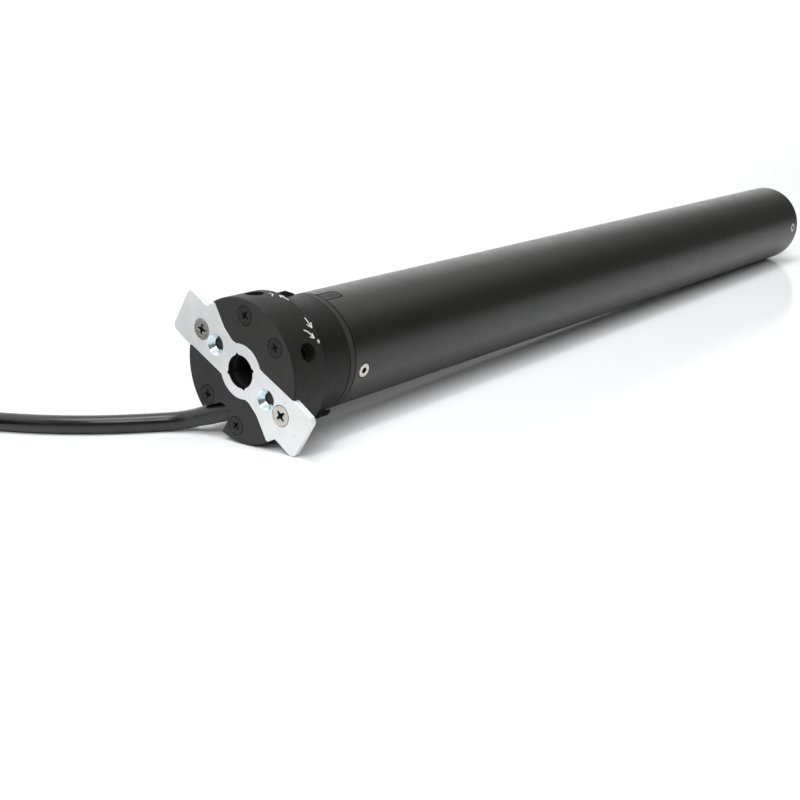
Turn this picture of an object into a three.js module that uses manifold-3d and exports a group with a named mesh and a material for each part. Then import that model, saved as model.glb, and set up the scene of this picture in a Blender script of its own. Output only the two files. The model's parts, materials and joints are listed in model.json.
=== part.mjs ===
// A 45 mm tubular roller shutter motor with mechanical limit switches, a three-stage planetary
// gearbox, a spring-applied brake and a mains lead wound up in a coil.
// Millimetres. X runs along the motor from the head's front face to the output shaft, and Z is up.
import * as THREE from 'three';
import { mergeVertices } from 'three/addons/utils/BufferGeometryUtils.js';
import Module from 'manifold-3d';

const wasm = await Module();
wasm.setup();

const rad = THREE.MathUtils.degToRad;

// ---- Driving dimensions ----
const GAP = 0.3; // clearance between neighbouring pieces
const FINE_GAP = 0.1; // clearance where two mouldings close on each other

const TUBE_R = 22.5;
const TUBE_WALL = 1.1;
const TUBE_BORE = TUBE_R - TUBE_WALL;
const TUBE_START = 37.35;
const TUBE_END = 462.9;
const INSERT_R = TUBE_BORE - GAP; // whatever is pushed into the tube

const FLANGE_R = 27.07;
const COVER_BACK = 4.6; // the cover is the front slice of the head
const FLANGE_BACK = 16.3;
const COLUMN_R = 15.6; // the drive ring turns on this column
const COLUMN_END = 33.8;

const PLATE_ANGLE = rad(34.8); // roll of the bracket plate about the motor's axis
const PLATE_THICK = 2.2;
const POCKET_DEPTH = 2.5;
const WING_END = 36;
const WING_HALF = 9.6;
const BOSS_R = 10.4;
const SQUARE_HALF = 5; // the drive socket takes a 10 mm square
const SOCKET_R = 6.2;
const SOCKET_DEPTH = 13;
const PLATE_SCREW_U = 23.25;
const SPARE_HOLE_U = 14.8;
const SPARE_HOLE_R = 2.15;
const SPARE_SINK_R = 4.1;
const COVER_SCREW_U = 8.6;
const COVER_SCREW_V = 19.4;

const ADJUSTER_X = 8.9;
const ADJUSTER_ANGLES = [rad(161.2), rad(90.5)];
const ADJUSTER_HOLE_R = 3.5;
const ADJUSTER_R = 2.2;
const ADJUSTER_OUT = 22.6; // radius at which an adjuster's outer end sits
const ADJUSTER_IN = 12;

const RING_START = FLANGE_BACK + GAP;
const RING_END = 34;
const LUG_HALF = 2.8;
// Two lugs on the ring, each an outline of places along the motor and radii.
const LUGS = [
  [rad(75), [[25.6, 20.6], [32.6, 20.6], [32.6, 22.9], [28.6, 24.6], [26.2, 24.6], [25.6, 24]]],
  [rad(253), [[28.4, 20.6], [33.9, 20.6], [33.9, 22.9], [36.2, 22.9], [36.2, 23.8], [34.4, 24.6],
    [28.4, 24.6]]],
];
const COLLAR_START = RING_END + GAP;
const KEY_ANGLE = rad(106.3);
const KEY_WIDTH = 5.2;
const KEY_END = 46.7;
const SPIGOT_END = 52; // the collar reaches this far into the tube
const SPIGOT_BORE = 19.4;

// gears: every mesh in the motor has the same module, so one centre distance serves all
const MODULE = 0.8;
const PRESSURE_ANGLE = rad(25);
const SUN_TEETH = 9;
const PLANET_TEETH = 18;
const RING_TEETH = 45;
const BACKLASH = 0.2; // taken off each tooth's thickness
const CENTRE_DISTANCE = (MODULE * (SUN_TEETH + PLANET_TEETH)) / 2;

const SPINDLE_ANGLES = [rad(72), rad(176)];
const PINION_START = 25.5;
const PINION_WIDTH = 5.5;
const SPINDLE_R = 1.5;
const SPINDLE_END = 54.3;
const NUT_X = 46.5;
const NUT_THICK = 3;
const SWITCH_START = 56;
const SWITCH_LENGTH = 7;
const BUTTON_TIP = 54.9;
const WEB_END = 63;

const MAIN_SCREW_X = 42.5;
const MAIN_SCREW_ANGLES = [rad(194), rad(14)];
const END_SCREW_X = 456.3;
const END_SCREW_ANGLES = [rad(181.7), rad(1.7)];
const TUBE_SCREW_HEAD = 2.75;
const TUBE_SCREW_SHANK = 1.6;
const TUBE_SCREW_OUT = TUBE_R - 0.05; // radius at which the flat top of its head sits
const TUBE_SCREW_LENGTH = 7.4;

const CAPACITOR_START = 70;
const CAPACITOR_END = 127;
const CAPACITOR_R = 15;

const SHAFT_R = 3; // rotor shaft
const BEARING_OUTER = 6.5;
const BEARING_WIDTH = 4;
const STATOR_START = 165;
const STATOR_END = 265;
const ROTOR_R = 11.2;
const REAR_SHIELD = 140;
const FRONT_SHIELD = 281;
const SHIELD_THICK = 7;
const BRAKE_START = 291;
const BRAKE_END = 306;
const BRAKE_TRAVEL_GAP = 0.8;
const GEARBOX_START = 322;
const STAGE_WIDTHS = [12, 16, 24];
const CARRIER_THICK = 5;
const CARRIER_R = 16.2;
const PIN_R = 2.4;
const OUTPUT_R = 6;
const OUTPUT_FLAT = 5; // half the width across the output shaft's two flats
const OUTPUT_END = 483;
const BUSH_R = 9;
const END_PLUG_START = 444;
const END_PLUG_END = 462.6;

const FLOOR_AT_HEAD = -27.45; // height of the surface below the head's face
const FLOOR_TILT = Math.atan((-TUBE_R - FLOOR_AT_HEAD) / TUBE_END);
const CABLE_R = 3.5;
const COIL_CENTRE = [-102.5, 124.3];
const COIL_MID_R = 40;
const COIL_BASE = 1.1;
const COIL_LAYERS = 3;
const COIL_COLUMNS = 3;
const TIE_THICK = 0.8;
const TIE_WIDTH = 8;
const CORE_R = 1.15;
const CORE_LIFT = 1.5; // height of a core's middle above the coil
const CORE_SHIFTS = [-5.1, -1.7, 1.7, 5.1]; // where the bared cores spread to across the coil

// ---- Materials ----
const material = (color, roughness, metalness) =>
  new THREE.MeshStandardMaterial({ color, roughness, metalness });
const blackPlastic = material(0x232323, 0.6, 0);
const ringPlastic = material(0x1f1f1f, 0.55, 0);
const blackPaint = material(0x1b1b1a, 0.42, 0.3);
const blackSteel = material(0x1c1c1c, 0.5, 0.8);
const zincPlate = material(0xd3d9db, 0.35, 0.9);
const nickelSteel = material(0xbdb8b0, 0.35, 0.95);
const steel = material(0x9a9a9a, 0.4, 0.9);
const pvc = material(0x101010, 0.3, 0);
const aluminium = material(0xb9bcc0, 0.4, 0.9);
const copper = material(0xa85a2a, 0.4, 0.9);
const nylon = material(0xd8d2c2, 0.55, 0);
const redPlastic = material(0xb02a20, 0.5, 0);
const sintered = material(0x6b6358, 0.6, 0.7);
const greyPlastic = material(0x5c6064, 0.55, 0);

// ---- Scene graph: groups that place the pieces ----
const motor = new THREE.Group();
// In the axial group Z runs along the motor, X is the row's Y and Y is the row's Z.
const axial = new THREE.Group();
axial.quaternion.setFromAxisAngle(new THREE.Vector3(1, 1, 1).normalize(), rad(120));
// In the floor group the XY plane is the surface that the motor lies on.
const floor = new THREE.Group();
floor.position.set(0, 0, FLOOR_AT_HEAD);
floor.rotation.y = -FLOOR_TILT;
motor.add(axial, floor);
motor.updateMatrixWorld(true);

// ---- Helpers ----
// Facets round a circle: on what shows, on what is shut inside, and on small round pieces.
const SHOWN = 36;
const HIDDEN = 20;
const SMALL = 12;

// A closed geometry as a solid for joining and cutting, with its faces turned outwards.
function solid(geometry) {
  const plain = geometry.index ? geometry.toNonIndexed() : geometry.clone();
  const bare = new THREE.BufferGeometry().setAttribute('position', plain.getAttribute('position'));
  const merged = mergeVertices(bare, 1e-4);
  const vertProperties = merged.attributes.position.array;
  const make = (triVerts) => new wasm.Manifold(new wasm.Mesh({ numProp: 3, vertProperties, triVerts }));
  const corners = new Uint32Array(merged.index.array);
  const made = make(corners);
  return made.volume() > 0 ? made : make(corners.reverse());
}

function geometryOf(manifold) {
  const { vertProperties, numProp, triVerts } = manifold.getMesh();
  const positions = new Float32Array((vertProperties.length / numProp) * 3);
  for (let i = 0; i < positions.length / 3; i++)
    positions.set(vertProperties.subarray(i * numProp, i * numProp + 3), i * 3);
  const geometry = new THREE.BufferGeometry();
  geometry.setAttribute('position', new THREE.BufferAttribute(positions, 3));
  geometry.setIndex(new THREE.BufferAttribute(triVerts, 1));
  geometry.computeVertexNormals();
  return geometry;
}

function piece(name, shape, look, parent = axial) {
  const geometry = shape.isBufferGeometry ? geometryOf(solid(shape)) : geometryOf(shape);
  const mesh = new THREE.Mesh(geometry, look);
  mesh.name = name;
  parent.add(mesh);
  return mesh;
}

// A group turned about the motor's axis, so that its X points out at that angle.
function turnedTo(angle) {
  const group = new THREE.Group();
  group.rotation.z = angle;
  axial.add(group);
  return group;
}

// A solid of revolution about Z from [radius, z] pairs that start and end on the axis.
function lathe(profile, segments = HIDDEN) {
  const points = profile.map(([r, z]) => new THREE.Vector2(r, z));
  return new THREE.LatheGeometry(points, segments).rotateX(Math.PI / 2);
}

// A round bar from z0 to z1.
const bar = (r, z0, z1, segments = HIDDEN) => lathe([[0, z0], [r, z0], [r, z1], [0, z1]], segments);

// A ring from z0 to z1.
const sleeve = (inner, outer, z0, z1, segments = HIDDEN) =>
  lathe([[inner, z0], [outer, z0], [outer, z1], [inner, z1], [inner, z0]], segments);

// A bar beside the axis.
const barAt = (x, y, r, z0, z1, segments = SMALL) => bar(r, z0, z1, segments).translate(x, y, 0);

const box = (x0, x1, y0, y1, z0, z1) =>
  new THREE.BoxGeometry(x1 - x0, y1 - y0, z1 - z0).translate((x0 + x1) / 2, (y0 + y1) / 2, (z0 + z1) / 2);

// A bar along the X axis of its group, for radial holes and screws.
const radialBar = (r, x0, x1, z, segments = SMALL) =>
  bar(r, x0, x1, segments).rotateY(Math.PI / 2).translate(0, 0, z);

function extruded(shape, z0, z1) {
  const geometry = new THREE.ExtrudeGeometry(shape, { depth: z1 - z0, bevelEnabled: false });
  return geometry.translate(0, 0, z0);
}

const spin = (geometry, angle) => geometry.rotateZ(angle);
const join = (...parts) => parts.map(asSolid).reduce((a, b) => a.add(b));
const cut = (body, ...tools) => tools.map(asSolid).reduce((a, b) => a.subtract(b), asSolid(body));
function asSolid(shape) {
  return shape.isBufferGeometry ? solid(shape) : shape;
}

// An outline of points through the corners, each corner given as [x, y, fillet radius].
function filleted(corners, arcSteps = 3) {
  const points = [];
  corners.forEach(([x, y, r = 0], i) => {
    const at = new THREE.Vector2(x, y);
    if (!r) return points.push(at);
    const before = corners.at(i - 1);
    const after = corners[(i + 1) % corners.length];
    const back = new THREE.Vector2(before[0] - x, before[1] - y).normalize();
    const on = new THREE.Vector2(after[0] - x, after[1] - y).normalize();
    const half = Math.acos(THREE.MathUtils.clamp(back.dot(on), -1, 1)) / 2;
    const centre = at.clone().addScaledVector(back.clone().add(on).normalize(), r / Math.sin(half));
    const start = at.clone().addScaledVector(back, r / Math.tan(half)).sub(centre);
    const end = at.clone().addScaledVector(on, r / Math.tan(half)).sub(centre);
    const turn = Math.atan2(start.cross(end), start.dot(end));
    for (let s = 0; s <= arcSteps; s++)
      points.push(start.clone().rotateAround(new THREE.Vector2(), (turn * s) / arcSteps).add(centre));
  });
  return points;
}

// The same outline, moved outwards by a distance. The points run anticlockwise.
function grown(points, distance) {
  return points.map((p, i) => {
    const along = points[(i + 1) % points.length].clone().sub(points.at(i - 1)).normalize();
    return new THREE.Vector2(p.x + along.y * distance, p.y - along.x * distance);
  });
}

const arcPoints = (cx, cy, r, from, to, steps) =>
  Array.from({ length: steps + 1 }, (_, i) => {
    const angle = from + ((to - from) * i) / steps;
    return [cx + r * Math.cos(angle), cy + r * Math.sin(angle)];
  });

// ---- Gears ----
const involute = (angle) => Math.tan(angle) - angle;

// A gear's outline with a tooth on +X. With play above zero the teeth are thinner.
// A negative play and a larger reach make the outline of the hole in an internal gear.
function gearOutline(teeth, play, tipReach, rootReach) {
  const pitchR = (MODULE * teeth) / 2;
  const baseR = pitchR * Math.cos(PRESSURE_ANGLE);
  const tipR = pitchR + tipReach * MODULE;
  const rootR = pitchR - rootReach * MODULE;
  const halfWidth = (r) => {
    const pressure = Math.acos(Math.min(1, baseR / r));
    return Math.PI / (2 * teeth) - play / (2 * pitchR) + involute(PRESSURE_ANGLE) - involute(pressure);
  };
  const corners = [[-1, rootR], [-1, tipR], [1, tipR], [1, rootR]];
  const points = [];
  for (let tooth = 0; tooth < teeth; tooth++) {
    const middle = (tooth * 2 * Math.PI) / teeth;
    for (const [side, r] of corners) {
      const angle = middle + side * halfWidth(Math.max(r, baseR));
      points.push(new THREE.Vector2(r * Math.cos(angle), r * Math.sin(angle)));
    }
  }
  return points;
}

const GEAR_TIP = 0.75;
const GEAR_ROOT = 1.15;
const externalGear = (teeth) => new THREE.Shape(gearOutline(teeth, BACKLASH, GEAR_TIP, GEAR_ROOT));
// The hole of an internal gear, turned so that its spaces meet the planets' teeth.
function internalGearHole() {
  const half = Math.PI / RING_TEETH;
  const points = gearOutline(RING_TEETH, -BACKLASH, GEAR_ROOT, GEAR_TIP);
  return points.map((p) => p.rotateAround(new THREE.Vector2(), half));
}

function circle(r, segments = SHOWN) {
  return arcPoints(0, 0, r, 0, 2 * Math.PI, segments).slice(0, -1).map(([x, y]) => new THREE.Vector2(x, y));
}

function internalGear(outerR, z0, z1) {
  const shape = new THREE.Shape(circle(outerR));
  shape.holes.push(new THREE.Path(internalGearHole()));
  return extruded(shape, z0, z1);
}

function planetGear(width) {
  const shape = externalGear(PLANET_TEETH);
  shape.holes.push(new THREE.Path(circle(PIN_R + GAP, 8)));
  return extruded(shape, 0, width);
}

// ---- Screws ----
const RIM = 0.25; // height of the straight edge round a countersunk head
const HEAD_PLAY = 0.15;
const SCREW_FACETS = 14;

// The outline of a countersunk screw with its flat head at z = 0 and its top at z = top.
const countersunk = (headR, shankR, length, top = 0) =>
  [[0, top], [headR, top], [headR, RIM], [shankR, headR - shankR + RIM], [shankR, length], [0, length]];

// A countersunk screw along Z with a cross recess.
function crossScrew(headR, shankR, length) {
  const body = lathe(countersunk(headR, shankR, length), SCREW_FACETS);
  const reach = headR * 0.56;
  const blade = headR * 0.13;
  const depth = headR * 0.4;
  const slot = box(-reach, reach, -blade, blade, -1, depth);
  const crossSlot = box(-blade, blade, -reach, reach, -1, depth);
  return cut(body, slot, crossSlot);
}

// The space that such a screw needs, from above the face down.
function crossScrewHole(headR, shankR, length) {
  return lathe(countersunk(headR + HEAD_PLAY, shankR + GAP, length, -1), SCREW_FACETS);
}

// What lies along Z from its head down, turned to point at the motor's axis from a tube screw's place.
const pointIn = (geometry, z) => geometry.rotateY(-Math.PI / 2).translate(TUBE_SCREW_OUT, 0, z);

// One of the hexagon socket screws that hold the tube.
function socketScrew(z) {
  const body = lathe(countersunk(TUBE_SCREW_HEAD, TUBE_SCREW_SHANK, TUBE_SCREW_LENGTH), SMALL);
  return cut(pointIn(body, z), pointIn(bar(TUBE_SCREW_HEAD * 0.42, -1, 1.1, 6), z));
}

function socketScrewHole(z) {
  const length = TUBE_SCREW_LENGTH + 2 * GAP;
  return pointIn(lathe(countersunk(TUBE_SCREW_HEAD + GAP, TUBE_SCREW_SHANK + GAP, length, -2), SMALL), z);
}

const screwHolesAt = (z, angles) => angles.map((angle) => spin(socketScrewHole(z), angle));

// ---- Bracket plate, in its own turned group ----
const plateGroup = turnedTo(PLATE_ANGLE);

function plateOutline() {
  const half = [
    [WING_END, -WING_HALF, 2.5],
    [WING_END, WING_HALF, 2.5],
    [25.6, WING_HALF, 0.8],
    [23.2, 13.6, 1],
    [14.2, 8.6, 5],
    [9, 7.3, 3],
    ...arcPoints(0, 0, BOSS_R, rad(48), rad(132), 8),
    [-8.3, 7.7, 2.5],
    [-24.2, 8.9, 0.8],
    [-25.8, WING_HALF, 0.8],
  ];
  return filleted([...half, ...half.map(([u, v, r]) => [-u, -v, r])]);
}

// A square hole with a slightly wider round one through it.
function socketOutline(play = 0) {
  const half = SQUARE_HALF + play;
  const r = SOCKET_R + play;
  const reach = Math.acos(half / r);
  const points = [];
  for (let side = 0; side < 4; side++) {
    const middle = (side * Math.PI) / 2;
    points.push(...arcPoints(0, 0, r, middle - reach, middle + reach, 6));
    const corner = middle + Math.PI / 4;
    points.push([half * Math.SQRT2 * Math.cos(corner), half * Math.SQRT2 * Math.sin(corner)]);
  }
  return points.map(([x, y]) => new THREE.Vector2(x, y));
}

const PLATE_SCREW = [3.85, 2, 11]; // head radius, shank radius and length
const COVER_SCREW = [3.45, 1.5, 10.5];
const screwSpots = [-1, 1].flatMap((a) => [-1, 1].map((b) => [a * COVER_SCREW_U, b * COVER_SCREW_V]));

{
  const shape = new THREE.Shape(plateOutline());
  shape.holes.push(new THREE.Path(socketOutline()));
  const spare = lathe([[0, -1], [SPARE_SINK_R + 1, -1], [SPARE_HOLE_R, 2], [SPARE_HOLE_R, 4], [0, 4]], 16);
  const tools = [-1, 1].flatMap((side) => [
    crossScrewHole(...PLATE_SCREW).translate(side * PLATE_SCREW_U, 0, 0),
    spare.clone().translate(side * SPARE_HOLE_U, 0, 0),
  ]);
  piece('bracket_plate', cut(extruded(shape, 0, PLATE_THICK), ...tools), zincPlate, plateGroup);
}

[-1, 1].forEach((side, i) => {
  const screw = piece(`plate_screw_${i + 1}`, crossScrew(...PLATE_SCREW), nickelSteel, plateGroup);
  screw.position.x = side * PLATE_SCREW_U;
  screw.rotation.z = rad(20 + 50 * i);
});

screwSpots.forEach(([u, v], i) => {
  const screw = piece(`cover_screw_${i + 1}`, crossScrew(...COVER_SCREW), blackSteel, plateGroup);
  screw.position.set(u, v, 0);
  screw.rotation.z = rad(12 + 25 * i);
});

// The slot that the cable leaves by: a round inner end, one straight side and one flared side.
function notchOutline() {
  const [cu, cv, r] = [-0.55, -20.4, 3.8];
  const flare = rad(-51.6);
  const round = arcPoints(cu, cv, r, flare + Math.PI / 2, Math.PI, 8);
  const [u0, v0] = round[0];
  const out = [u0 + 18 * Math.cos(flare), v0 + 18 * Math.sin(flare)];
  return [...round, [cu - r, cv - 14], out].map(([x, y]) => new THREE.Vector2(x, y));
}
const NOTCH_DEPTH = 9.4;
const notch = () => extruded(new THREE.Shape(notchOutline()), -1, NOTCH_DEPTH);
const turned = (geometry) => spin(geometry, PLATE_ANGLE);

const screwHoles = (spots, screw) =>
  spots.map(([u, v]) => turned(crossScrewHole(...screw).translate(u, v, 0)));
const headHoles = () => [
  ...screwHoles([[-PLATE_SCREW_U, 0], [PLATE_SCREW_U, 0]], PLATE_SCREW),
  ...screwHoles(screwSpots, COVER_SCREW),
  turned(notch()),
  turned(extruded(new THREE.Shape(socketOutline(0.1)), -1, SOCKET_DEPTH)),
];

// ---- Head ----
{
  const pocket = extruded(new THREE.Shape(grown(plateOutline(), FINE_GAP)), -1, POCKET_DEPTH);
  const cover = cut(bar(FLANGE_R, 0, COVER_BACK, SHOWN), turned(pocket), ...headHoles());
  piece('head_cover', cover, blackPlastic);
}

const aside = (distance, angle) => [distance * Math.cos(angle), distance * Math.sin(angle)];
const spindleSpots = SPINDLE_ANGLES.map((angle) => aside(CENTRE_DISTANCE, angle));
const WEB_ANGLE = (SPINDLE_ANGLES[0] + SPINDLE_ANGLES[1]) / 2 + Math.PI; // away from both spindles
const web = (grow, z0, z1) => spin(box(5.5 - grow, 11.5 + grow, -8 - grow, 8 + grow, z0, z1), WEB_ANGLE);
const WIRE_HOLE_R = 2.6;
const WIRE_HOLE = aside(11, rad(-55.2));

{
  const front = COVER_BACK + FINE_GAP;
  const pinionTip = MODULE * (PLANET_TEETH / 2 + GEAR_TIP);
  const body = join(
    lathe([[0, front], [FLANGE_R, front], [FLANGE_R, FLANGE_BACK],
      [COLUMN_R, FLANGE_BACK], [COLUMN_R, COLUMN_END], [0, COLUMN_END]], SHOWN),
    web(0, COLUMN_END - 3, WEB_END),
  );
  const pockets = spindleSpots.flatMap(([x, y]) => [
    barAt(x, y, pinionTip + GAP, PINION_START - GAP, COLUMN_END + 1, HIDDEN),
    barAt(x, y, 2 + GAP, FLANGE_BACK + 0.7, PINION_START),
  ]);
  const adjusterBores = ADJUSTER_ANGLES.flatMap((a) => [
    spin(radialBar(ADJUSTER_HOLE_R, ADJUSTER_OUT + 0.7, 30, ADJUSTER_X), a),
    spin(radialBar(ADJUSTER_R + 0.2, ADJUSTER_IN - GAP, 24, ADJUSTER_X), a),
  ]);
  const wires = barAt(...WIRE_HOLE, WIRE_HOLE_R, 5, WEB_END + 1);
  const channel = turned(box(-2.5, 2.5, -18, -9, 5, 9));
  const head = cut(body, ...headHoles(), ...pockets, ...adjusterBores, wires, channel);
  piece('head_body', head, blackPlastic);
}

ADJUSTER_ANGLES.forEach((angle, i) => {
  const body = cut(
    radialBar(ADJUSTER_R, ADJUSTER_IN, ADJUSTER_OUT, 0),
    radialBar(1.5, ADJUSTER_OUT - 3.5, ADJUSTER_OUT + 1, 0, 6),
  );
  const screw = piece(`adjuster_screw_${i + 1}`, body, steel, turnedTo(angle));
  screw.position.z = ADJUSTER_X;
});

// ---- Drive ring ----
{
  const [outwards, across, onwards] = [[1, 0, 0], [0, 1, 0], [0, 0, 1]].map((v) => new THREE.Vector3(...v));
  const stand = new THREE.Matrix4().makeBasis(onwards, outwards, across);
  const lug = ([angle, outline]) => {
    const shape = new THREE.Shape(outline.map(([x, y]) => new THREE.Vector2(x, y)));
    return spin(extruded(shape, -LUG_HALF, LUG_HALF).applyMatrix4(stand), angle);
  };
  const ring = join(
    sleeve(COLUMN_R + GAP, TUBE_R, RING_START, PINION_START - 0.4, SHOWN),
    internalGear(TUBE_R, PINION_START - 0.5, RING_END),
    ...LUGS.map(lug),
  );
  piece('drive_ring', ring, ringPlastic);
}

// ---- Limit switches: geared spindles with a travelling nut and a switch each ----
const spindleLooks = [nylon, greyPlastic];
spindleSpots.forEach(([x, y], i) => {
  const angle = SPINDLE_ANGLES[i];
  const shape = extruded(externalGear(PLANET_TEETH), PINION_START, PINION_START + PINION_WIDTH);
  const journal = bar(2, FLANGE_BACK + 1, PINION_START + 1, SMALL);
  const thread = bar(SPINDLE_R, PINION_START + 1, SPINDLE_END, SMALL);
  const spindle = join(shape, journal, thread);
  const gear = piece(`limit_spindle_${i + 1}`, spindle, spindleLooks[i]);
  gear.position.set(x, y, 0);
  gear.rotation.z = angle + Math.PI / PLANET_TEETH;

  const place = new THREE.Group();
  place.position.set(x, y, 0);
  place.rotation.z = WEB_ANGLE;
  axial.add(place);
  const nutBody = cut(
    join(box(-3.4, 3.4, -3.2, 3.2, 0, NUT_THICK), bar(2.9, -1.5, 1, SMALL)),
    bar(SPINDLE_R + GAP, -2, NUT_THICK + 1, SMALL),
  );
  const nut = piece(`limit_nut_${i + 1}`, nutBody, redPlastic, place);
  nut.position.z = NUT_X;

  const switchEnd = SWITCH_START + SWITCH_LENGTH;
  const switchBody = cut(
    box(-6, 5, -3.2, 3.2, SWITCH_START, switchEnd),
    bar(1.3, SWITCH_START - 1, SWITCH_START + 3, SMALL),
  );
  const terminals = [-4.6, -2.2, 3.4].map((t) => box(t, t + 0.5, -1, 1, switchEnd - 1, switchEnd + 3));
  piece(`limit_switch_${i + 1}`, join(switchBody, ...terminals), greyPlastic, place);
  const button = piece(`switch_button_${i + 1}`, bar(1, 0, 2.6, SMALL), redPlastic, place);
  button.position.z = BUTTON_TIP;
});

// ---- Collar between the drive ring and the tube ----
// The key's outline is drawn along the motor and across it, and extruded along the radius.
function keyPrism(play) {
  const half = KEY_WIDTH / 2 + play;
  const start = COLLAR_START + 1;
  const end = KEY_END + play;
  const outline = filleted([[start, -half], [end, -half, 2], [end, half, 2], [start, half]]);
  return extruded(new THREE.Shape(outline), -TUBE_R - 1, -TUBE_R / 2).rotateY(-Math.PI / 2);
}

{
  const floorTop = COLLAR_START + 2;
  const body = lathe([[0, COLLAR_START], [TUBE_R, COLLAR_START], [TUBE_R, TUBE_START - GAP],
    [INSERT_R, TUBE_START - GAP], [INSERT_R, SPIGOT_END], [SPIGOT_BORE, SPIGOT_END],
    [SPIGOT_BORE, floorTop], [0, floorTop]], SHOWN);
  const tongue = solid(sleeve(20, TUBE_R - 0.02, TUBE_START - 1, KEY_END + 1, SHOWN))
    .intersect(solid(spin(keyPrism(0), KEY_ANGLE)));
  const holes = [
    ...spindleSpots.map(([x, y]) => barAt(x, y, SPINDLE_R + GAP, 30, 40)),
    ...screwHolesAt(MAIN_SCREW_X, MAIN_SCREW_ANGLES),
    web(GAP, 30, 40),
    barAt(...WIRE_HOLE, WIRE_HOLE_R, 30, 40),
  ];
  piece('tube_collar', cut(join(body, tongue), ...holes), blackPlastic);
}

// ---- Tube and its screws ----
piece('motor_tube', cut(
  sleeve(TUBE_BORE, TUBE_R, TUBE_START, TUBE_END, SHOWN),
  spin(keyPrism(GAP), KEY_ANGLE),
  ...screwHolesAt(MAIN_SCREW_X, MAIN_SCREW_ANGLES),
  ...screwHolesAt(END_SCREW_X, END_SCREW_ANGLES),
), blackPaint);

const radialScrews = (name, angles, x) =>
  angles.forEach((angle, i) => piece(`${name}_${i + 1}`, socketScrew(x), nickelSteel, turnedTo(angle)));
radialScrews('tube_screw', MAIN_SCREW_ANGLES, MAIN_SCREW_X);
radialScrews('end_screw', END_SCREW_ANGLES, END_SCREW_X);

// ---- Capacitor ----
{
  const neck = CAPACITOR_R - 0.8;
  const can = lathe([[0, CAPACITOR_START], [CAPACITOR_R - 1, CAPACITOR_START],
    [CAPACITOR_R, CAPACITOR_START + 1], [CAPACITOR_R, CAPACITOR_END - 3],
    [neck, CAPACITOR_END - 2], [neck, CAPACITOR_END], [0, CAPACITOR_END]]);
  const tags = [-5, 5].map((y) => box(-0.4, 0.4, y - 3, y + 3, CAPACITOR_END - 1, CAPACITOR_END + 6));
  piece('capacitor', join(can, ...tags), greyPlastic);
}

// ---- Motor ----
// An end shield with a bearing seat open towards the stator side given by sign.
function shield(z, sign) {
  const seatDepth = BEARING_WIDTH + 0.6;
  const back = sign > 0 ? z : z + SHIELD_THICK;
  const face = back + sign * SHIELD_THICK;
  const seat = face - sign * seatDepth;
  return lathe([[SHAFT_R + 1, back], [INSERT_R, back], [INSERT_R, face], [BEARING_OUTER + GAP, face],
    [BEARING_OUTER + GAP, seat], [SHAFT_R + 1, seat], [SHAFT_R + 1, back]]);
}
piece('rear_shield', shield(REAR_SHIELD, 1), aluminium);
piece('front_shield', shield(FRONT_SHIELD, -1), aluminium);
const bearing = () => lathe([[SHAFT_R + GAP, 0], [BEARING_OUTER, 0], [BEARING_OUTER, BEARING_WIDTH],
  [SHAFT_R + GAP, BEARING_WIDTH], [SHAFT_R + GAP, 0]], SMALL);
piece('rear_bearing', bearing(), steel).position.z = REAR_SHIELD + SHIELD_THICK - BEARING_WIDTH - GAP;
piece('front_bearing', bearing(), steel).position.z = FRONT_SHIELD + GAP;

const SLOTS = 8;
const SLOT_MID_R = 15.4;
const AIR_GAP = 0.4;
const inSlots = (r, overhang) => Array.from({ length: SLOTS }, (_, i) => {
  const [x, y] = aside(SLOT_MID_R, (i * 2 * Math.PI) / SLOTS);
  return barAt(x, y, r, STATOR_START - overhang, STATOR_END + overhang, 6);
});
{
  const stack = sleeve(ROTOR_R + AIR_GAP, INSERT_R, STATOR_START, STATOR_END);
  piece('stator_core', cut(stack, ...inSlots(2.8, 1)), steel);

  const turnsEnd = (z0, z1) =>
    lathe([[12.6, z0], [17, z0], [19.2, (z0 + z1) / 2], [17, z1], [12.6, z1], [12.6, z0]], 24);
  const front = turnsEnd(STATOR_START - 12, STATOR_START - 2);
  const back = turnsEnd(STATOR_END + 2, STATOR_END + 12);
  piece('stator_winding', join(front, back, ...inSlots(2.3, 4)), copper);
}
{
  const bore = SHAFT_R + GAP;
  const ringR = ROTOR_R - 1; // the end rings stand back from the laminations
  const front = STATOR_START - 3;
  const back = STATOR_END + 3;
  piece('rotor_core', lathe([[bore, front], [ringR, front], [ringR, STATOR_START], [ROTOR_R, STATOR_START],
    [ROTOR_R, STATOR_END], [ringR, STATOR_END], [ringR, back], [bore, back], [bore, front]], 24), steel);
}

// ---- Brake: a spring pushes the armature against the disc until the coil draws it back ----
const ARMATURE_START = BRAKE_END + BRAKE_TRAVEL_GAP;
const ARMATURE_THICK = 3;
const DISC_START = ARMATURE_START + ARMATURE_THICK + GAP;
piece('brake_coil', lathe([[7, BRAKE_START], [20.5, BRAKE_START], [20.5, BRAKE_END], [18.5, BRAKE_END],
  [18.5, BRAKE_END - 3], [11, BRAKE_END - 3], [11, BRAKE_END], [7, BRAKE_END], [7, BRAKE_START]]), sintered);
{
  const SPRING_R = 5.2;
  const SPRING_TURNS = 4;
  const SPRING_LENGTH = 13;
  class Helix extends THREE.Curve {
    getPoint(t, target = new THREE.Vector3()) {
      const angle = t * SPRING_TURNS * 2 * Math.PI;
      return target.set(...aside(SPRING_R, angle), BRAKE_START + 1 + t * SPRING_LENGTH);
    }
  }
  const wire = new THREE.Shape(circle(0.6, 5));
  const options = { extrudePath: new Helix(), steps: 32, bevelEnabled: false };
  piece('brake_spring', new THREE.ExtrudeGeometry(wire, options), steel);
}
piece('brake_armature', sleeve(SHAFT_R + 1, 19.5, ARMATURE_START, ARMATURE_START + ARMATURE_THICK), steel);
piece('brake_disc', sleeve(SHAFT_R + GAP, 18.5, DISC_START, DISC_START + 4), sintered);

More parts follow.
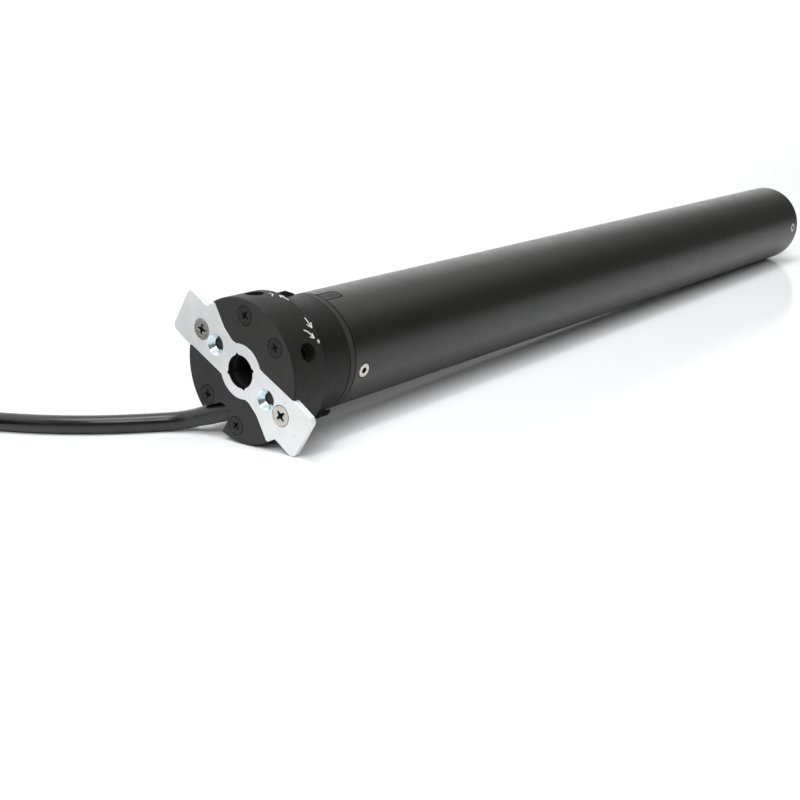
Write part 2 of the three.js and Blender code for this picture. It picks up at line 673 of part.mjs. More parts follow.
// ---- Gearbox ----
// Each stage has a sun on the piece before it, three planets and a carrier that bears the next sun.
const stages = [];
let stageStart = GEARBOX_START + 2;
for (const width of STAGE_WIDTHS) {
  stages.push({ start: stageStart, width, carrier: stageStart + width + 1 });
  stageStart += width + 1 + CARRIER_THICK + 1;
}
const GEARBOX_END = stages.at(-1).carrier + CARRIER_THICK + 1;
piece('ring_gear', internalGear(INSERT_R, GEARBOX_START, GEARBOX_END), sintered);

const sun = ({ start, width }) => extruded(externalGear(SUN_TEETH), start, start + width);
piece('rotor_shaft', join(bar(SHAFT_R, REAR_SHIELD + 1, stages[0].start - 1, SMALL),
  bar(2.4, stages[0].start - 2, stages[0].start + 1, SMALL), sun(stages[0])), steel);

const planetAngles = [0, 1, 2].map((i) => rad(120 * i));
const carrierLooks = [steel, steel, sintered];
stages.forEach((stage, s) => {
  const pins = planetAngles.map((angle) =>
    barAt(...aside(CENTRE_DISTANCE, angle), PIN_R, stage.start, stage.carrier + 1, 10));
  const plate = bar(CARRIER_R, stage.carrier, stage.carrier + CARRIER_THICK, 24);
  const next = stages[s + 1];
  const nextSun = next
    ? [bar(2.4, stage.carrier + 1, next.start + 1, 10), sun(next)]
    : [];
  const bore = next ? [] : [bar(OUTPUT_R, stage.carrier - 1, stage.carrier + CARRIER_THICK + 1, 24)];
  piece(`planet_carrier_${s + 1}`, cut(join(plate, ...pins, ...nextSun), ...bore), carrierLooks[s]);
  planetAngles.forEach((angle, i) => {
    const planet = piece(`planet_${s + 1}${'abc'[i]}`, planetGear(stage.width), s ? sintered : nylon);
    planet.position.set(...aside(CENTRE_DISTANCE, angle), stage.start);
    planet.rotation.z = angle + Math.PI / PLANET_TEETH;
  });
});

// ---- Output shaft, its bush and the plug that closes the tube ----
{
  const start = stages.at(-1).carrier;
  const bevel = OUTPUT_END - 0.8;
  const shaft = join(
    bar(OUTPUT_R - GAP, start, start + CARRIER_THICK + 2, 24),
    bar(OUTPUT_R, start + CARRIER_THICK + 0.5, bevel - 1, 24),
    lathe([[0, bevel - 2], [OUTPUT_R, bevel - 2], [OUTPUT_R, bevel], [OUTPUT_R - 0.8, OUTPUT_END],
      [0, OUTPUT_END]], 24),
  );
  const far = OUTPUT_R + 3;
  const flats = [[OUTPUT_FLAT, far], [-far, -OUTPUT_FLAT]].map(([x0, x1]) =>
    box(x0, x1, -far, far, END_PLUG_END + 2, OUTPUT_END + 1));
  const groove = sleeve(OUTPUT_R - 0.6, far, OUTPUT_END - 4, OUTPUT_END - 3, 24);
  const screwHole = bar(2.1, OUTPUT_END - 12, OUTPUT_END + 1, SMALL);
  piece('output_shaft', cut(shaft, ...flats, groove, screwHole), steel);
}
piece('output_bush', sleeve(OUTPUT_R + 0.1, BUSH_R, END_PLUG_START + 2, END_PLUG_END - 2, 24), sintered);
const bushSeat = END_PLUG_START + 2 - GAP;
const shaftHole = OUTPUT_R + 2 * GAP;
piece('end_plug', cut(
  lathe([[shaftHole, END_PLUG_START], [INSERT_R, END_PLUG_START], [INSERT_R, END_PLUG_END],
    [BUSH_R + GAP, END_PLUG_END], [BUSH_R + GAP, bushSeat], [shaftHole, bushSeat],
    [shaftHole, END_PLUG_START]]),
  ...screwHolesAt(END_SCREW_X, END_SCREW_ANGLES),
), aluminium);

// ---- Mains lead ----
const SLEEVE_IN = new THREE.Vector3(5.2, 11.2, -17.1);
const SLEEVE_OUT = new THREE.Vector3(1.8, 25.7, -21.5);
const outward = SLEEVE_OUT.clone().sub(SLEEVE_IN).normalize();
{
  const length = SLEEVE_OUT.distanceTo(SLEEVE_IN);
  const dome = arcPoints(0, 0, CABLE_R, rad(-90), 0, 5);
  const geometry = new THREE.LatheGeometry([...dome, [CABLE_R, length], [0, length]]
    .map(([r, y]) => new THREE.Vector2(r, y)), 20);
  const mesh = piece('cable_sleeve', geometry, pvc, motor);
  mesh.position.copy(SLEEVE_IN);
  mesh.quaternion.setFromUnitVectors(new THREE.Vector3(0, 1, 0), outward);
}

// The lead's route, seen from above, with the height of its middle above the surface.
const first = floor.worldToLocal(SLEEVE_OUT.clone().addScaledVector(outward, 2 * GAP));
const joinHeading = rad(111);
const outerTurn = COIL_MID_R + CABLE_R * (COIL_COLUMNS - 1);
const tangent = new THREE.Vector2(Math.cos(joinHeading), Math.sin(joinHeading));
const sideways = new THREE.Vector2(tangent.y, -tangent.x);
const touch = new THREE.Vector2(...COIL_CENTRE).addScaledVector(sideways, outerTurn);
const before = (distance) => touch.clone().addScaledVector(tangent, -distance);
const lead = (distance, height) => new THREE.Vector3(before(distance).x, before(distance).y, height);
const route = [
  first,
  new THREE.Vector3(0.4, 30, 4.7),
  new THREE.Vector3(-1.7, 34, 3.9),
  new THREE.Vector3(-4.3, 37.6, 3.6),
  new THREE.Vector3(-7.7, 41.3, 3.55),
  new THREE.Vector3(-11.8, 45.7, 3.55),
  new THREE.Vector3(-17, 51.7, 3.55),
  new THREE.Vector3(-23.6, 60.5, 3.55),
  new THREE.Vector3(-32.6, 75.6, 3.55),
  new THREE.Vector3(-40, 92.5, 3.55),
  lead(42, 3.6),
  lead(36, 3.9),
  lead(31, 4.3),
];
const cableSection = new THREE.Shape(circle(CABLE_R, 10));
function along(points, steps, section = cableSection) {
  const extrudePath = new THREE.CatmullRomCurve3(points);
  return new THREE.ExtrudeGeometry(section, { extrudePath, steps, bevelEnabled: false });
}
piece('cable_run', along(route, 14), pvc, floor);

{
  const halfSpan = (COIL_COLUMNS * 2 * CABLE_R) / 2;
  const height = COIL_LAYERS * 2 * CABLE_R;
  const top = COIL_BASE + height;
  const ring = sleeve(COIL_MID_R - halfSpan, COIL_MID_R + halfSpan, COIL_BASE, top, SHOWN);
  const stub = along([30.5, 15, 0].map((distance) => lead(distance, COIL_BASE + CABLE_R)), 2);
  piece('cable_coil', join(ring.translate(...COIL_CENTRE, 0), stub), pvc, floor);

  const tieSpot = new THREE.Group();
  tieSpot.position.set(...COIL_CENTRE, 0);
  tieSpot.rotation.z = rad(200);
  floor.add(tieSpot);
  const reach = [COIL_MID_R - halfSpan - 0.8, COIL_MID_R + halfSpan + GAP];
  const half = TIE_WIDTH / 2;
  const band = box(reach[0] - TIE_THICK, reach[1] + TIE_THICK, -half, half, 0, top + GAP + TIE_THICK);
  const hollow = box(...reach, -TIE_WIDTH, TIE_WIDTH, TIE_THICK, top + GAP);
  piece('coil_tie', cut(band, hollow), greyPlastic, tieSpot);

  // The end of the lead lies on the coil: the sheath stops and four cores go on.
  const onCoil = (r, degrees, z) => {
    const [x, y] = aside(r, rad(degrees));
    return new THREE.Vector3(COIL_CENTRE[0] + x, COIL_CENTRE[1] + y, z);
  };
  const sheathZ = top + GAP + CABLE_R;
  const coreZ = top + GAP + CORE_LIFT;
  const sheath = along([330, 340, 350, 360, 370, 380].map((deg) => onCoil(COIL_MID_R, deg, sheathZ)), 5);
  const coreSection = new THREE.Shape(circle(CORE_R, 5));
  const cores = CORE_SHIFTS.map((shift) => {
    const near = [372, 384].map((deg) => onCoil(COIL_MID_R + shift * 0.3, deg, sheathZ));
    const fanned = [400, 430, 455].map((deg) => onCoil(COIL_MID_R + shift, deg, coreZ));
    return along([...near, ...fanned], 6, coreSection);
  });
  piece('cable_tail', join(sheath, ...cores), pvc, floor);
}

export default motor;
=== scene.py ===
"""The looks of a 45 mm tubular roller shutter motor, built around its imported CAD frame.

Shapes are drawn in millimetres and become metres in settle(). X runs along the motor from the
head's front face, and an angle about it goes from +Y towards +Z. A shape's own frame is (u, v, w):
a prism is drawn in u and v and runs along w, and a turned shape goes round w.
"""

import json
import math

import bmesh
import bpy
from mathutils import Matrix, Vector

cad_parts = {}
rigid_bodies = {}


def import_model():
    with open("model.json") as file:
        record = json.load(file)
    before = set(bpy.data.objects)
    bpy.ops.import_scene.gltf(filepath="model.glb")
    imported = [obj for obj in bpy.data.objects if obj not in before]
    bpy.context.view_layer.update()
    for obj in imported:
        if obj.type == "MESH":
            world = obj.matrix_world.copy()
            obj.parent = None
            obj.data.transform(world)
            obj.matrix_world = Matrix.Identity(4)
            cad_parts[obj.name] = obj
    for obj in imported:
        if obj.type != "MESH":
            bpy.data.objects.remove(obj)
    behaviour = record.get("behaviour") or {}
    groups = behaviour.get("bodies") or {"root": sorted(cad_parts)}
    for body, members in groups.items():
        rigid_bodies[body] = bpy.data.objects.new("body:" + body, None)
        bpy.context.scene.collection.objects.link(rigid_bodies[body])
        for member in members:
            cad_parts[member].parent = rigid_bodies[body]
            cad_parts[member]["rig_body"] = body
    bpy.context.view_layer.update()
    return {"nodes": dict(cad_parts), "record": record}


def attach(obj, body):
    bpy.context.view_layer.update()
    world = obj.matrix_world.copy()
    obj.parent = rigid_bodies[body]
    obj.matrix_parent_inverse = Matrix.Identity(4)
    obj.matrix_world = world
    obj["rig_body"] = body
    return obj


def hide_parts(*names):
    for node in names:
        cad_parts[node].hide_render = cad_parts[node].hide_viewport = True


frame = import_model()
scene = bpy.context.scene

MM = 0.001
GAP = 0.3
PAST = 1  # how far a cutting shape runs past what it cuts
ROUND = 144  # facets round the large turned shapes
FINE = 48  # facets round the small ones

TUBE_R = 22.5
TUBE_BORE = 21.4
TUBE_START = 37.35
TUBE_END = 462.9
INSERT_R = 21.1
FLANGE_R = 27.07
COVER_BACK = 4.67
BODY_FRONT = 4.7
FLANGE_BACK = 16.3
COLUMN_R = 15.6
COLUMN_END = 33.8
RING_START = 16.6
RING_END = 34
RING_BORE = 15.9
TEETH_START = 25.1
COLLAR_START = 34.3
COLLAR_END = 37.05
COLLAR_FLOOR = 36.3
SPIGOT_BORE = 19.4
SPIGOT_END = 52
PLATE_ANGLE = math.radians(34.8)
PLATE_THICK = 2.2
ADJUSTER_X = 8.9
ADJUSTER_ANGLES = (161.2, 90.5)
KEY_ANGLE = math.radians(106.3)
SPINDLE_SPOTS = ((10.8, math.radians(72)), (10.8, math.radians(176)))
SPINDLE_HOLE_R = 1.8
WIRE_HOLE = (11.0, math.radians(-55.2))
WIRE_HOLE_R = 2.6
WEB_ANGLE = math.radians(304)
WEB_END = 63
TUBE_SCREW_OUT = 22.45
PLUG_START = 444
PLUG_END = 462.6
OUTPUT_R = 6
OUTPUT_END = 483.0
FLATS_START = 464.6


def aside(distance, angle):
    return Vector((distance * math.cos(angle), distance * math.sin(angle), 0))


# ---- Camera ----
def aim_camera():
    yaw, pitch, roll = (math.radians(a) for a in (39.3486, -15.7234, -1.3880))
    level = math.cos(pitch)
    forward = Vector((math.cos(yaw) * level, math.sin(yaw) * level, math.sin(pitch)))
    right = forward.cross(Vector((0, 0, 1))).normalized()
    up = right.cross(forward)
    rolled_right = right * math.cos(roll) + up * math.sin(roll)
    rolled_up = up * math.cos(roll) - right * math.sin(roll)
    lens = bpy.data.cameras.new("camera")
    lens.lens = 53.86
    lens.sensor_width = 36
    lens.clip_start = 0.01
    lens.clip_end = 60
    camera = bpy.data.objects.new("camera", lens)
    scene.collection.objects.link(camera)
    turn = Matrix((rolled_right, rolled_up, -forward)).transposed().to_4x4()
    camera.matrix_world = Matrix.Translation(Vector((-284.315, -306.581, 104.749)) * MM) @ turn
    scene.camera = camera


aim_camera()

# ---- The lead: where it leaves the head, its route over the floor and its coil ----
FLOOR_AT_HEAD = -27.45
FLOOR_TILT = math.atan((-TUBE_R - FLOOR_AT_HEAD) / TUBE_END)
FLOOR = Matrix.Translation((0, 0, FLOOR_AT_HEAD)) @ Matrix.Rotation(-FLOOR_TILT, 4, "Y")

LEAD_R = 3.5
LEAD_D = 2 * LEAD_R
SLEEVE_R = 3.77  # the bend relief all but fills the notch
SLEEVE_IN = Vector((5.2, 11.2, -17.1))
SLEEVE_OUT = Vector((1.8, 25.7, -21.5))
OUTWARD = (SLEEVE_OUT - SLEEVE_IN).normalized()
COIL_CENTRE = Vector((-102.5, 124.3, 0))
COIL_START = 21.0  # degrees round the coil where the lead joins it
OUTER_TURN = 47.0
COIL_BASE = 1.1  # height of the lowest turns' underside


def before_coil(distance, height):
    """A point on the straight stretch that leads into the coil."""
    start = math.radians(COIL_START)
    heading = Vector((-math.sin(start), math.cos(start), 0))
    touch = COIL_CENTRE + aside(OUTER_TURN, start)
    return touch - heading * distance + Vector((0, 0, height))


def smooth_through(points, samples):
    """Points on a centripetal Catmull-Rom curve through the given ones."""
    ends = [points[0] * 2 - points[1], *points, points[-1] * 2 - points[-2]]
    made = []
    for i in range(len(points) - 1):
        p = ends[i : i + 4]
        knots = [0.0]
        for a, b in zip(p, p[1:]):
            knots.append(knots[-1] + max((b - a).length, 1e-6) ** 0.5)
        for s in range(samples):
            t = knots[1] + (knots[2] - knots[1]) * s / samples
            level = p
            for reach in (1, 2, 3):
                level = [
                    a.lerp(b, (t - knots[k]) / (knots[k + reach] - knots[k]))
                    for k, (a, b) in enumerate(zip(level, level[1:]))
                ]
            made.append(level[0])
    return [*made, points[-1]]


def coil_points():
    """The windings: layers of turns side by side, with a quick step to the next turn."""
    # degrees travelled, turns moved outwards, layers moved up
    moves = [(260, 0, 0), (100, -1, 0), (260, 0, 0), (100, -1, 0), (180, 0, 0), (80, 0, 1)]
    moves += [(180, 0, 0), (100, 1, 0), (260, 0, 0), (100, 1, 0), (180, 0, 0), (80, 0, 1)]
    moves += [(180, 0, 0), (100, -1, 0), (260, 0, 0), (100, -1, 0), (191, 0, 0)]
    moves += [(80, 0, 1.043), (88, 1, 0)]
    angle, radius, height = COIL_START, OUTER_TURN, COIL_BASE + LEAD_R
    points = []
    for degrees, out, up in moves:
        steps = round(degrees / 5)
        for i in range(steps):
            eased = (1 - math.cos(math.pi * i / steps)) / 2
            at = aside(radius + out * LEAD_D * eased, math.radians(angle + degrees * i / steps))
            points.append(COIL_CENTRE + at + Vector((0, 0, height + up * LEAD_D * eased)))
        angle += degrees
        radius += out * LEAD_D
        height += up * LEAD_D
    points.append(COIL_CENTRE + aside(radius, math.radians(angle)) + Vector((0, 0, height)))
    return points


def curve_along(name, points, radius, resolution=7):
    """A round cord as one open spline through points in millimetres, in the row frame."""
    data = bpy.data.curves.new(name, "CURVE")
    data.dimensions = "3D"
    data.twist_mode = "MINIMUM"
    data.bevel_depth = 1  # times each point's radius, which also sets how far its box reaches
    data.bevel_resolution = resolution
    data.use_fill_caps = True
    spline = data.splines.new("POLY")
    spline.points.add(len(points) - 1)
    for spot, p in zip(spline.points, points):
        spot.co = (*(p * MM), 1)
        spot.radius = radius * MM
    spline.use_smooth = True
    cord = bpy.data.objects.new(name, data)
    scene.collection.objects.link(cord)
    return cord


ROUTE = [
    FLOOR.inverted() @ (SLEEVE_OUT + OUTWARD * 2 * GAP),
    Vector((0.4, 30, 4.7)),
    Vector((-1.7, 34, 3.9)),
    Vector((-4.3, 37.6, 3.6)),
    Vector((-7.7, 41.3, 3.55)),
    Vector((-11.8, 45.7, 3.55)),
    Vector((-17, 51.7, 3.55)),
    Vector((-23.6, 60.5, 3.55)),
    Vector((-32.6, 75.6, 3.55)),
    Vector((-40, 92.5, 3.55)),
    before_coil(42, 3.6),
    before_coil(36, 3.9),
    before_coil(31, 4.3),
    before_coil(15, COIL_BASE + LEAD_R),
    before_coil(0, COIL_BASE + LEAD_R),
]
inside = FLOOR.inverted() @ (SLEEVE_OUT - OUTWARD * 2)  # so that no joint shows
lead_points = [inside, *smooth_through(ROUTE, 2)[:-1], *coil_points()]
lead = curve_along("mains_lead", [FLOOR @ p for p in lead_points], LEAD_R, 9)

CORE_R = 1.15
CORE_HEIGHT = COIL_BASE + 3 * LEAD_D + GAP + 1.5
SHEATH_HEIGHT = COIL_BASE + 3 * LEAD_D + GAP + LEAD_R
COIL_MID = 40.0


def on_coil(radius, degrees, height):
    return COIL_CENTRE + aside(radius, math.radians(degrees)) + Vector((0, 0, height))


def core_points(shift):
    """One bared core, from inside the sheath's end to where it lies on the coil."""
    near = [on_coil(COIL_MID + shift * 0.3, a, SHEATH_HEIGHT) for a in (376, 384)]
    fanned = [on_coil(COIL_MID + shift, a, CORE_HEIGHT) for a in (400, 416, 430, 443, 455)]
    return smooth_through(near + fanned, 5)


cores = []
core_tips = []
for name, shift in (("brown", -5.1), ("blue", -1.7), ("black", 1.7), ("earth", 5.1)):
    points = [FLOOR @ p for p in core_points(shift)]
    cores.append(curve_along(f"core_{name}", points[:-4], CORE_R, 4))
    core_tips.append(curve_along(f"core_tip_{name}", points[-6:], 0.62, 3))


# ---- Shapes ----
AXIAL = Matrix(((0, 0, 1, 0), (1, 0, 0, 0), (0, 1, 0, 0), (0, 0, 0, 1)))


def turned(angle, spot=(0, 0, 0), lean=0.0):
    """The axial frame turned about the motor, moved to a spot in it and leant about v."""
    turn = Matrix.Rotation(angle, 4, "Z")
    return AXIAL @ turn @ Matrix.Translation(spot) @ Matrix.Rotation(lean, 4, "Y")


OUTWARDS = math.pi / 2  # leans w away from the axis
INWARDS = -math.pi / 2
PLATE = turned(PLATE_ANGLE)


def solid(verts, faces, place):
    mesh = bpy.data.meshes.new("solid")
    mesh.from_pydata([place @ Vector(v) for v in verts], [], faces)
    shape = bmesh.new()
    shape.from_mesh(mesh)
    bmesh.ops.recalc_face_normals(shape, faces=shape.faces)
    shape.to_mesh(mesh)
    shape.free()
    made = bpy.data.objects.new("solid", mesh)
    scene.collection.objects.link(made)
    return made


def loft(rings, place=AXIAL):
    """A closed solid through rings of equally many points, with a flat face at each end."""
    count = len(rings[0])
    verts = [p for ring in rings for p in ring]
    faces = [list(range(count)), list(range((len(rings) - 1) * count, len(rings) * count))]
    for r in range(len(rings) - 1):
        for i in range(count):
            j = (i + 1) % count
            faces.append([r * count + i, r * count + j, (r + 1) * count + j, (r + 1) * count + i])
    return solid(verts, faces, place)


def lathe(profile, place=AXIAL, segments=ROUND):
    """A solid turned round w from (radius, w) pairs. One that leaves the axis free is a ring."""
    verts, rows, faces = [], [], []
    turns = [2 * math.pi * i / segments for i in range(segments)]
    for radius, w in profile:
        first = len(verts)
        if radius > 0:
            verts += [(radius * math.cos(t), radius * math.sin(t), w) for t in turns]
            rows.append(range(first, first + segments))
        else:
            verts.append((0, 0, w))
            rows.append([first] * segments)
    pairs = list(zip(rows, rows[1:]))
    if profile[0][0] > 0:
        pairs.append((rows[-1], rows[0]))
    for here, there in pairs:
        for i in range(segments):
            j = (i + 1) % segments
            corners = dict.fromkeys((here[i], here[j], there[j], there[i]))
            if len(corners) > 2:
                faces.append(list(corners))
    return solid(verts, faces, place)


def sleeve(inner, outer, low, high, place=AXIAL, segments=ROUND):
    return lathe([(inner, low), (outer, low), (outer, high), (inner, high)], place, segments)


def rod(radius, low, high, place=AXIAL, segments=FINE):
    return lathe([(0, low), (radius, low), (radius, high), (0, high)], place, segments)


def prism(outline, low, high, place=AXIAL, edge=0.0):
    """An outline run along w. With an edge, its low end is rounded by that radius."""
    rings = []
    steps = 4 if edge else 0
    for i in range(steps):
        a = math.pi / 2 * i / steps
        inset = grown(outline, -edge * (1 - math.sin(a)))
        rings.append([(*p, low + edge * (1 - math.cos(a))) for p in inset])
    rings.append([(*p, low + edge) for p in outline])
    rings.append([(*p, high) for p in outline])
    return loft(rings, place)


def box(u, v, w, place=AXIAL):
    """A box from pairs of limits."""
    outline = [(u[0], v[0]), (u[1], v[0]), (u[1], v[1]), (u[0], v[1])]
    return prism(outline, *w, place)


def settle_modifiers(shape):
    graph = bpy.context.evaluated_depsgraph_get()
    shape.data = bpy.data.meshes.new_from_object(shape.evaluated_get(graph))
    shape.modifiers.clear()
    return shape


def combine(operation, body, tools):
    for tool in tools:
        step = body.modifiers.new("step", "BOOLEAN")
        step.operation = operation
        step.solver = "EXACT"
        step.object = tool
    settle_modifiers(body)
    for tool in tools:
        bpy.data.objects.remove(tool)
    return body


def cut(body, *tools):
    return combine("DIFFERENCE", body, tools)


def join(body, *tools):
    return combine("UNION", body, tools)


def common(body, *tools):
    return combine("INTERSECT", body, tools)


def arc(cu, cv, radius, start, end, steps):
    turns = (start + (end - start) * i / steps for i in range(steps + 1))
    return [(cu + radius * math.cos(t), cv + radius * math.sin(t)) for t in turns]


def filleted(corners, steps=7):
    """An outline through corners given as (u, v, fillet radius), or (u, v) for a sharp one."""
    points = []
    for i, corner in enumerate(corners):
        at = Vector(corner[:2])
        if len(corner) == 2:
            points.append(tuple(at))
            continue
        radius = corner[2]
        back = (Vector(corners[i - 1][:2]) - at).normalized()
        on = (Vector(corners[(i + 1) % len(corners)][:2]) - at).normalized()
        half = back.angle(on) / 2
        centre = at + (back + on).normalized() * radius / math.sin(half)
        start = at + back * radius / math.tan(half) - centre
        end = at + on * radius / math.tan(half) - centre
        turn = math.atan2(start.x * end.y - start.y * end.x, start.dot(end))
        first = math.atan2(start.y, start.x)
        points += arc(*centre, radius, first, first + turn, steps)
    return points


def grown(outline, distance):
    """The outline moved outwards. Its points run anticlockwise."""
    moved = []
    for i, p in enumerate(outline):
        back = outline[i - 1]
        on = outline[(i + 1) % len(outline)]
        along = Vector((on[0] - back[0], on[1] - back[1])).normalized()
        moved.append((p[0] + along.y * distance, p[1] - along.x * distance))
    return moved


def gear_hole(teeth=45, module=0.8, play=-0.2, tip=1.15, root=0.75):
    """The outline of the hole in an internal gear."""
    pressure = math.radians(25)
    pitch = module * teeth / 2
    base = pitch * math.cos(pressure)
    low, high = pitch - root * module, pitch + tip * module

    def half_width(radius):
        at = math.acos(min(1, base / max(radius, base)))
        rise = math.tan(pressure) - pressure - (math.tan(at) - at)
        return math.pi / (2 * teeth) - play / (2 * pitch) + rise

    points = []
    for tooth in range(teeth):
        middle = (tooth + 0.5) * 2 * math.pi / teeth
        for side, radius in ((-1, low), (-1, high), (1, high), (1, low)):
            at = aside(radius, middle + side * half_width(radius))
            points.append((at.x, at.y))
    return points


# ---- Materials ----
def material(name, low, high, rough, metal=0.0, patch=9.0, grain=0.25, relief=0.01,
             stretch=(1, 1, 1), coat=0.0, specular=0.5, lines=None):
    """A surface whose colour and roughness drift in patches, with a fine grain in relief.

    low and high are its colours, rough a pair of roughnesses, patch and grain sizes in
    millimetres and relief the grain's height. lines is (axis, spacing, height) for fine
    parallel lines such as sheet edges, wire or tool marks.
    """
    made = bpy.data.materials.new(name)
    made.use_nodes = True
    nodes, links = made.node_tree.nodes, made.node_tree.links
    shader = nodes["Principled BSDF"]
    shader.inputs["Metallic"].default_value = metal
    shader.inputs["Specular IOR Level"].default_value = specular
    shader.inputs["Coat Weight"].default_value = coat
    shader.inputs["Coat Roughness"].default_value = 0.12
    where = nodes.new("ShaderNodeTexCoord")
    scaled = nodes.new("ShaderNodeMapping")
    scaled.inputs["Scale"].default_value = stretch
    links.new(where.outputs["Object"], scaled.inputs["Vector"])

    def noise(size, detail):
        node = nodes.new("ShaderNodeTexNoise")
        node.inputs["Scale"].default_value = 1 / (size * MM)
        node.inputs["Detail"].default_value = detail
        links.new(scaled.outputs["Vector"], node.inputs["Vector"])
        return node.outputs["Fac"]

    drift = noise(patch, 4)
    speck = noise(grain, 3)
    colour = nodes.new("ShaderNodeValToRGB")
    colour.color_ramp.elements[0].position = 0.3
    colour.color_ramp.elements[0].color = (*low, 1)
    colour.color_ramp.elements[1].position = 0.7
    colour.color_ramp.elements[1].color = (*high, 1)
    links.new(drift, colour.inputs["Fac"])
    links.new(colour.outputs["Color"], shader.inputs["Base Color"])
    polish = nodes.new("ShaderNodeMapRange")
    polish.inputs["From Min"].default_value = 0.25
    polish.inputs["From Max"].default_value = 0.75
    polish.inputs["To Min"].default_value = rough[0]
    polish.inputs["To Max"].default_value = rough[1]
    links.new(noise(patch * 0.45, 6), polish.inputs["Value"])
    links.new(polish.outputs["Result"], shader.inputs["Roughness"])
    bump = nodes.new("ShaderNodeBump")
    bump.inputs["Strength"].default_value = 0.6
    bump.inputs["Distance"].default_value = relief * MM
    links.new(speck, bump.inputs["Height"])
    last = bump
    if lines:
        axis, spacing, height = lines
        wave = nodes.new("ShaderNodeTexWave")
        wave.bands_direction = axis
        wave.inputs["Scale"].default_value = math.pi / 10 / (spacing * MM)
        links.new(where.outputs["Object"], wave.inputs["Vector"])
        last = nodes.new("ShaderNodeBump")
        last.inputs["Strength"].default_value = 0.8
        last.inputs["Distance"].default_value = height * MM
        links.new(wave.outputs["Fac"], last.inputs["Height"])
        links.new(bump.outputs["Normal"], last.inputs["Normal"])
    links.new(last.outputs["Normal"], shader.inputs["Normal"])
    return made


def grey(level):
    return (level, level, level)


FINISHES = {
    "zinc_plate": material(
        "zinc_plate", (0.81, 0.84, 0.845), (0.88, 0.90, 0.905), (0.26, 0.38), metal=0.25,
        patch=5, grain=0.35, relief=0.006, specular=0.7),
    "bright_screws": material(
        "bright_screws", (0.50, 0.47, 0.43), (0.70, 0.67, 0.62), (0.22, 0.38), metal=1,
        patch=2, grain=0.2, relief=0.006),
    "black_screws": material(
        "black_screws", grey(0.018), grey(0.035), (0.30, 0.45), metal=0.6,
        patch=2, grain=0.2, relief=0.008),
    "black_plastic": material(
        "black_plastic", (0.0235, 0.0233, 0.0225), (0.029, 0.0288, 0.0278), (0.46, 0.58),
        patch=14, grain=0.22, relief=0.014, specular=0.32),
    "ring_plastic": material(
        "ring_plastic", (0.0062, 0.0062, 0.0056), (0.009, 0.009, 0.0082), (0.42, 0.54),
        patch=10, grain=0.3, relief=0.008, specular=0.26),
    "adjuster_steel": material(
        "adjuster_steel", grey(0.03), grey(0.06), (0.35, 0.5), metal=1, patch=2),
    "nylon": material(
        "nylon", (0.62, 0.59, 0.50), (0.71, 0.68, 0.59), (0.42, 0.55), patch=4),
    "red_plastic": material(
        "red_plastic", (0.40, 0.020, 0.013), (0.48, 0.03, 0.02), (0.38, 0.5), patch=3),
    "grey_plastic": material(
        "grey_plastic", (0.10, 0.11, 0.12), (0.14, 0.15, 0.16), (0.42, 0.56), patch=6),
    "tie_plastic": material(
        "tie_plastic", grey(0.03), grey(0.045), (0.36, 0.5), patch=4,
        lines=("Z", 1.2, 0.05)),
    "black_paint": material(
        "black_paint", (0.0068, 0.0065, 0.0057), (0.0098, 0.0094, 0.0083), (0.29, 0.36),
        patch=22, grain=0.7, relief=0.004, specular=0.53),
    "die_cast": material(
        "die_cast", grey(0.42), grey(0.56), (0.38, 0.55), metal=0.9, patch=4, grain=0.4,
        relief=0.03),
    "steel": material(
        "steel", grey(0.38), grey(0.52), (0.25, 0.38), metal=1, patch=5, grain=0.2,
        relief=0.004, lines=("X", 0.5, 0.01)),
    "copper": material(
        "copper", (0.50, 0.18, 0.07), (0.66, 0.27, 0.11), (0.24, 0.36), metal=1, patch=4,
        lines=("DIAGONAL", 0.7, 0.12)),
    "sintered": material(
        "sintered", (0.13, 0.12, 0.105), (0.20, 0.18, 0.16), (0.48, 0.62), metal=0.7,
        patch=2, grain=0.15, relief=0.03),
    "cable_pvc": material(
        "cable_pvc", grey(0.006), grey(0.010), (0.17, 0.26), patch=16, grain=1.2,
        relief=0.015, specular=0.6),
}
LEAD_COLOURS = {
    "brown": material("core_brown", (0.10, 0.035, 0.015), (0.13, 0.05, 0.02), (0.3, 0.4)),
    "blue": material("core_blue", (0.01, 0.07, 0.30), (0.015, 0.10, 0.38), (0.3, 0.4)),
    "black": material("core_black", grey(0.008), grey(0.014), (0.3, 0.4)),
    "earth": material(
        "core_earth", (0.03, 0.22, 0.03), (0.62, 0.52, 0.02), (0.3, 0.4), patch=2.2,
        stretch=(1, 0.2, 1)),
}
COUNTERSINK = material(
    "countersink", (0.42, 0.60, 0.66), (0.86, 0.90, 0.92), (0.12, 0.22), metal=0.9,
    patch=1.8, grain=0.3, relief=0.004)
SOCKET = material(
    "socket_wall", grey(0.008), grey(0.013), (0.10, 0.2), patch=1.2, grain=0.3, relief=0.03)
# painted shade: a dark finish for the walls of screw recesses, standing for the shadow down in
# them
PAINTED_RECESS_SHADE = material("screw_recess", grey(0.02), grey(0.05), (0.4, 0.5), metal=0.6, patch=1)
SLEEVE = material("lead_sleeve", grey(0.012), grey(0.018), (0.3, 0.4), patch=4, grain=0.3)
# painted shade: a darker copy of the black plastic for the head's round side, standing for the
# shade that side is in
SHADED_HEAD_SIDE = material(
    "head_side", (0.0125, 0.0123, 0.0116), (0.0165, 0.0162, 0.0154), (0.46, 0.58), patch=14,
    grain=0.22, relief=0.014, specular=0.26)
PRINT = material("print", grey(0.62), grey(0.72), (0.5, 0.6), patch=2)

# ---- Placing pieces ----
SLOTS = {row["node"]: row["material_slot"] for row in frame["record"]["subparts"]}


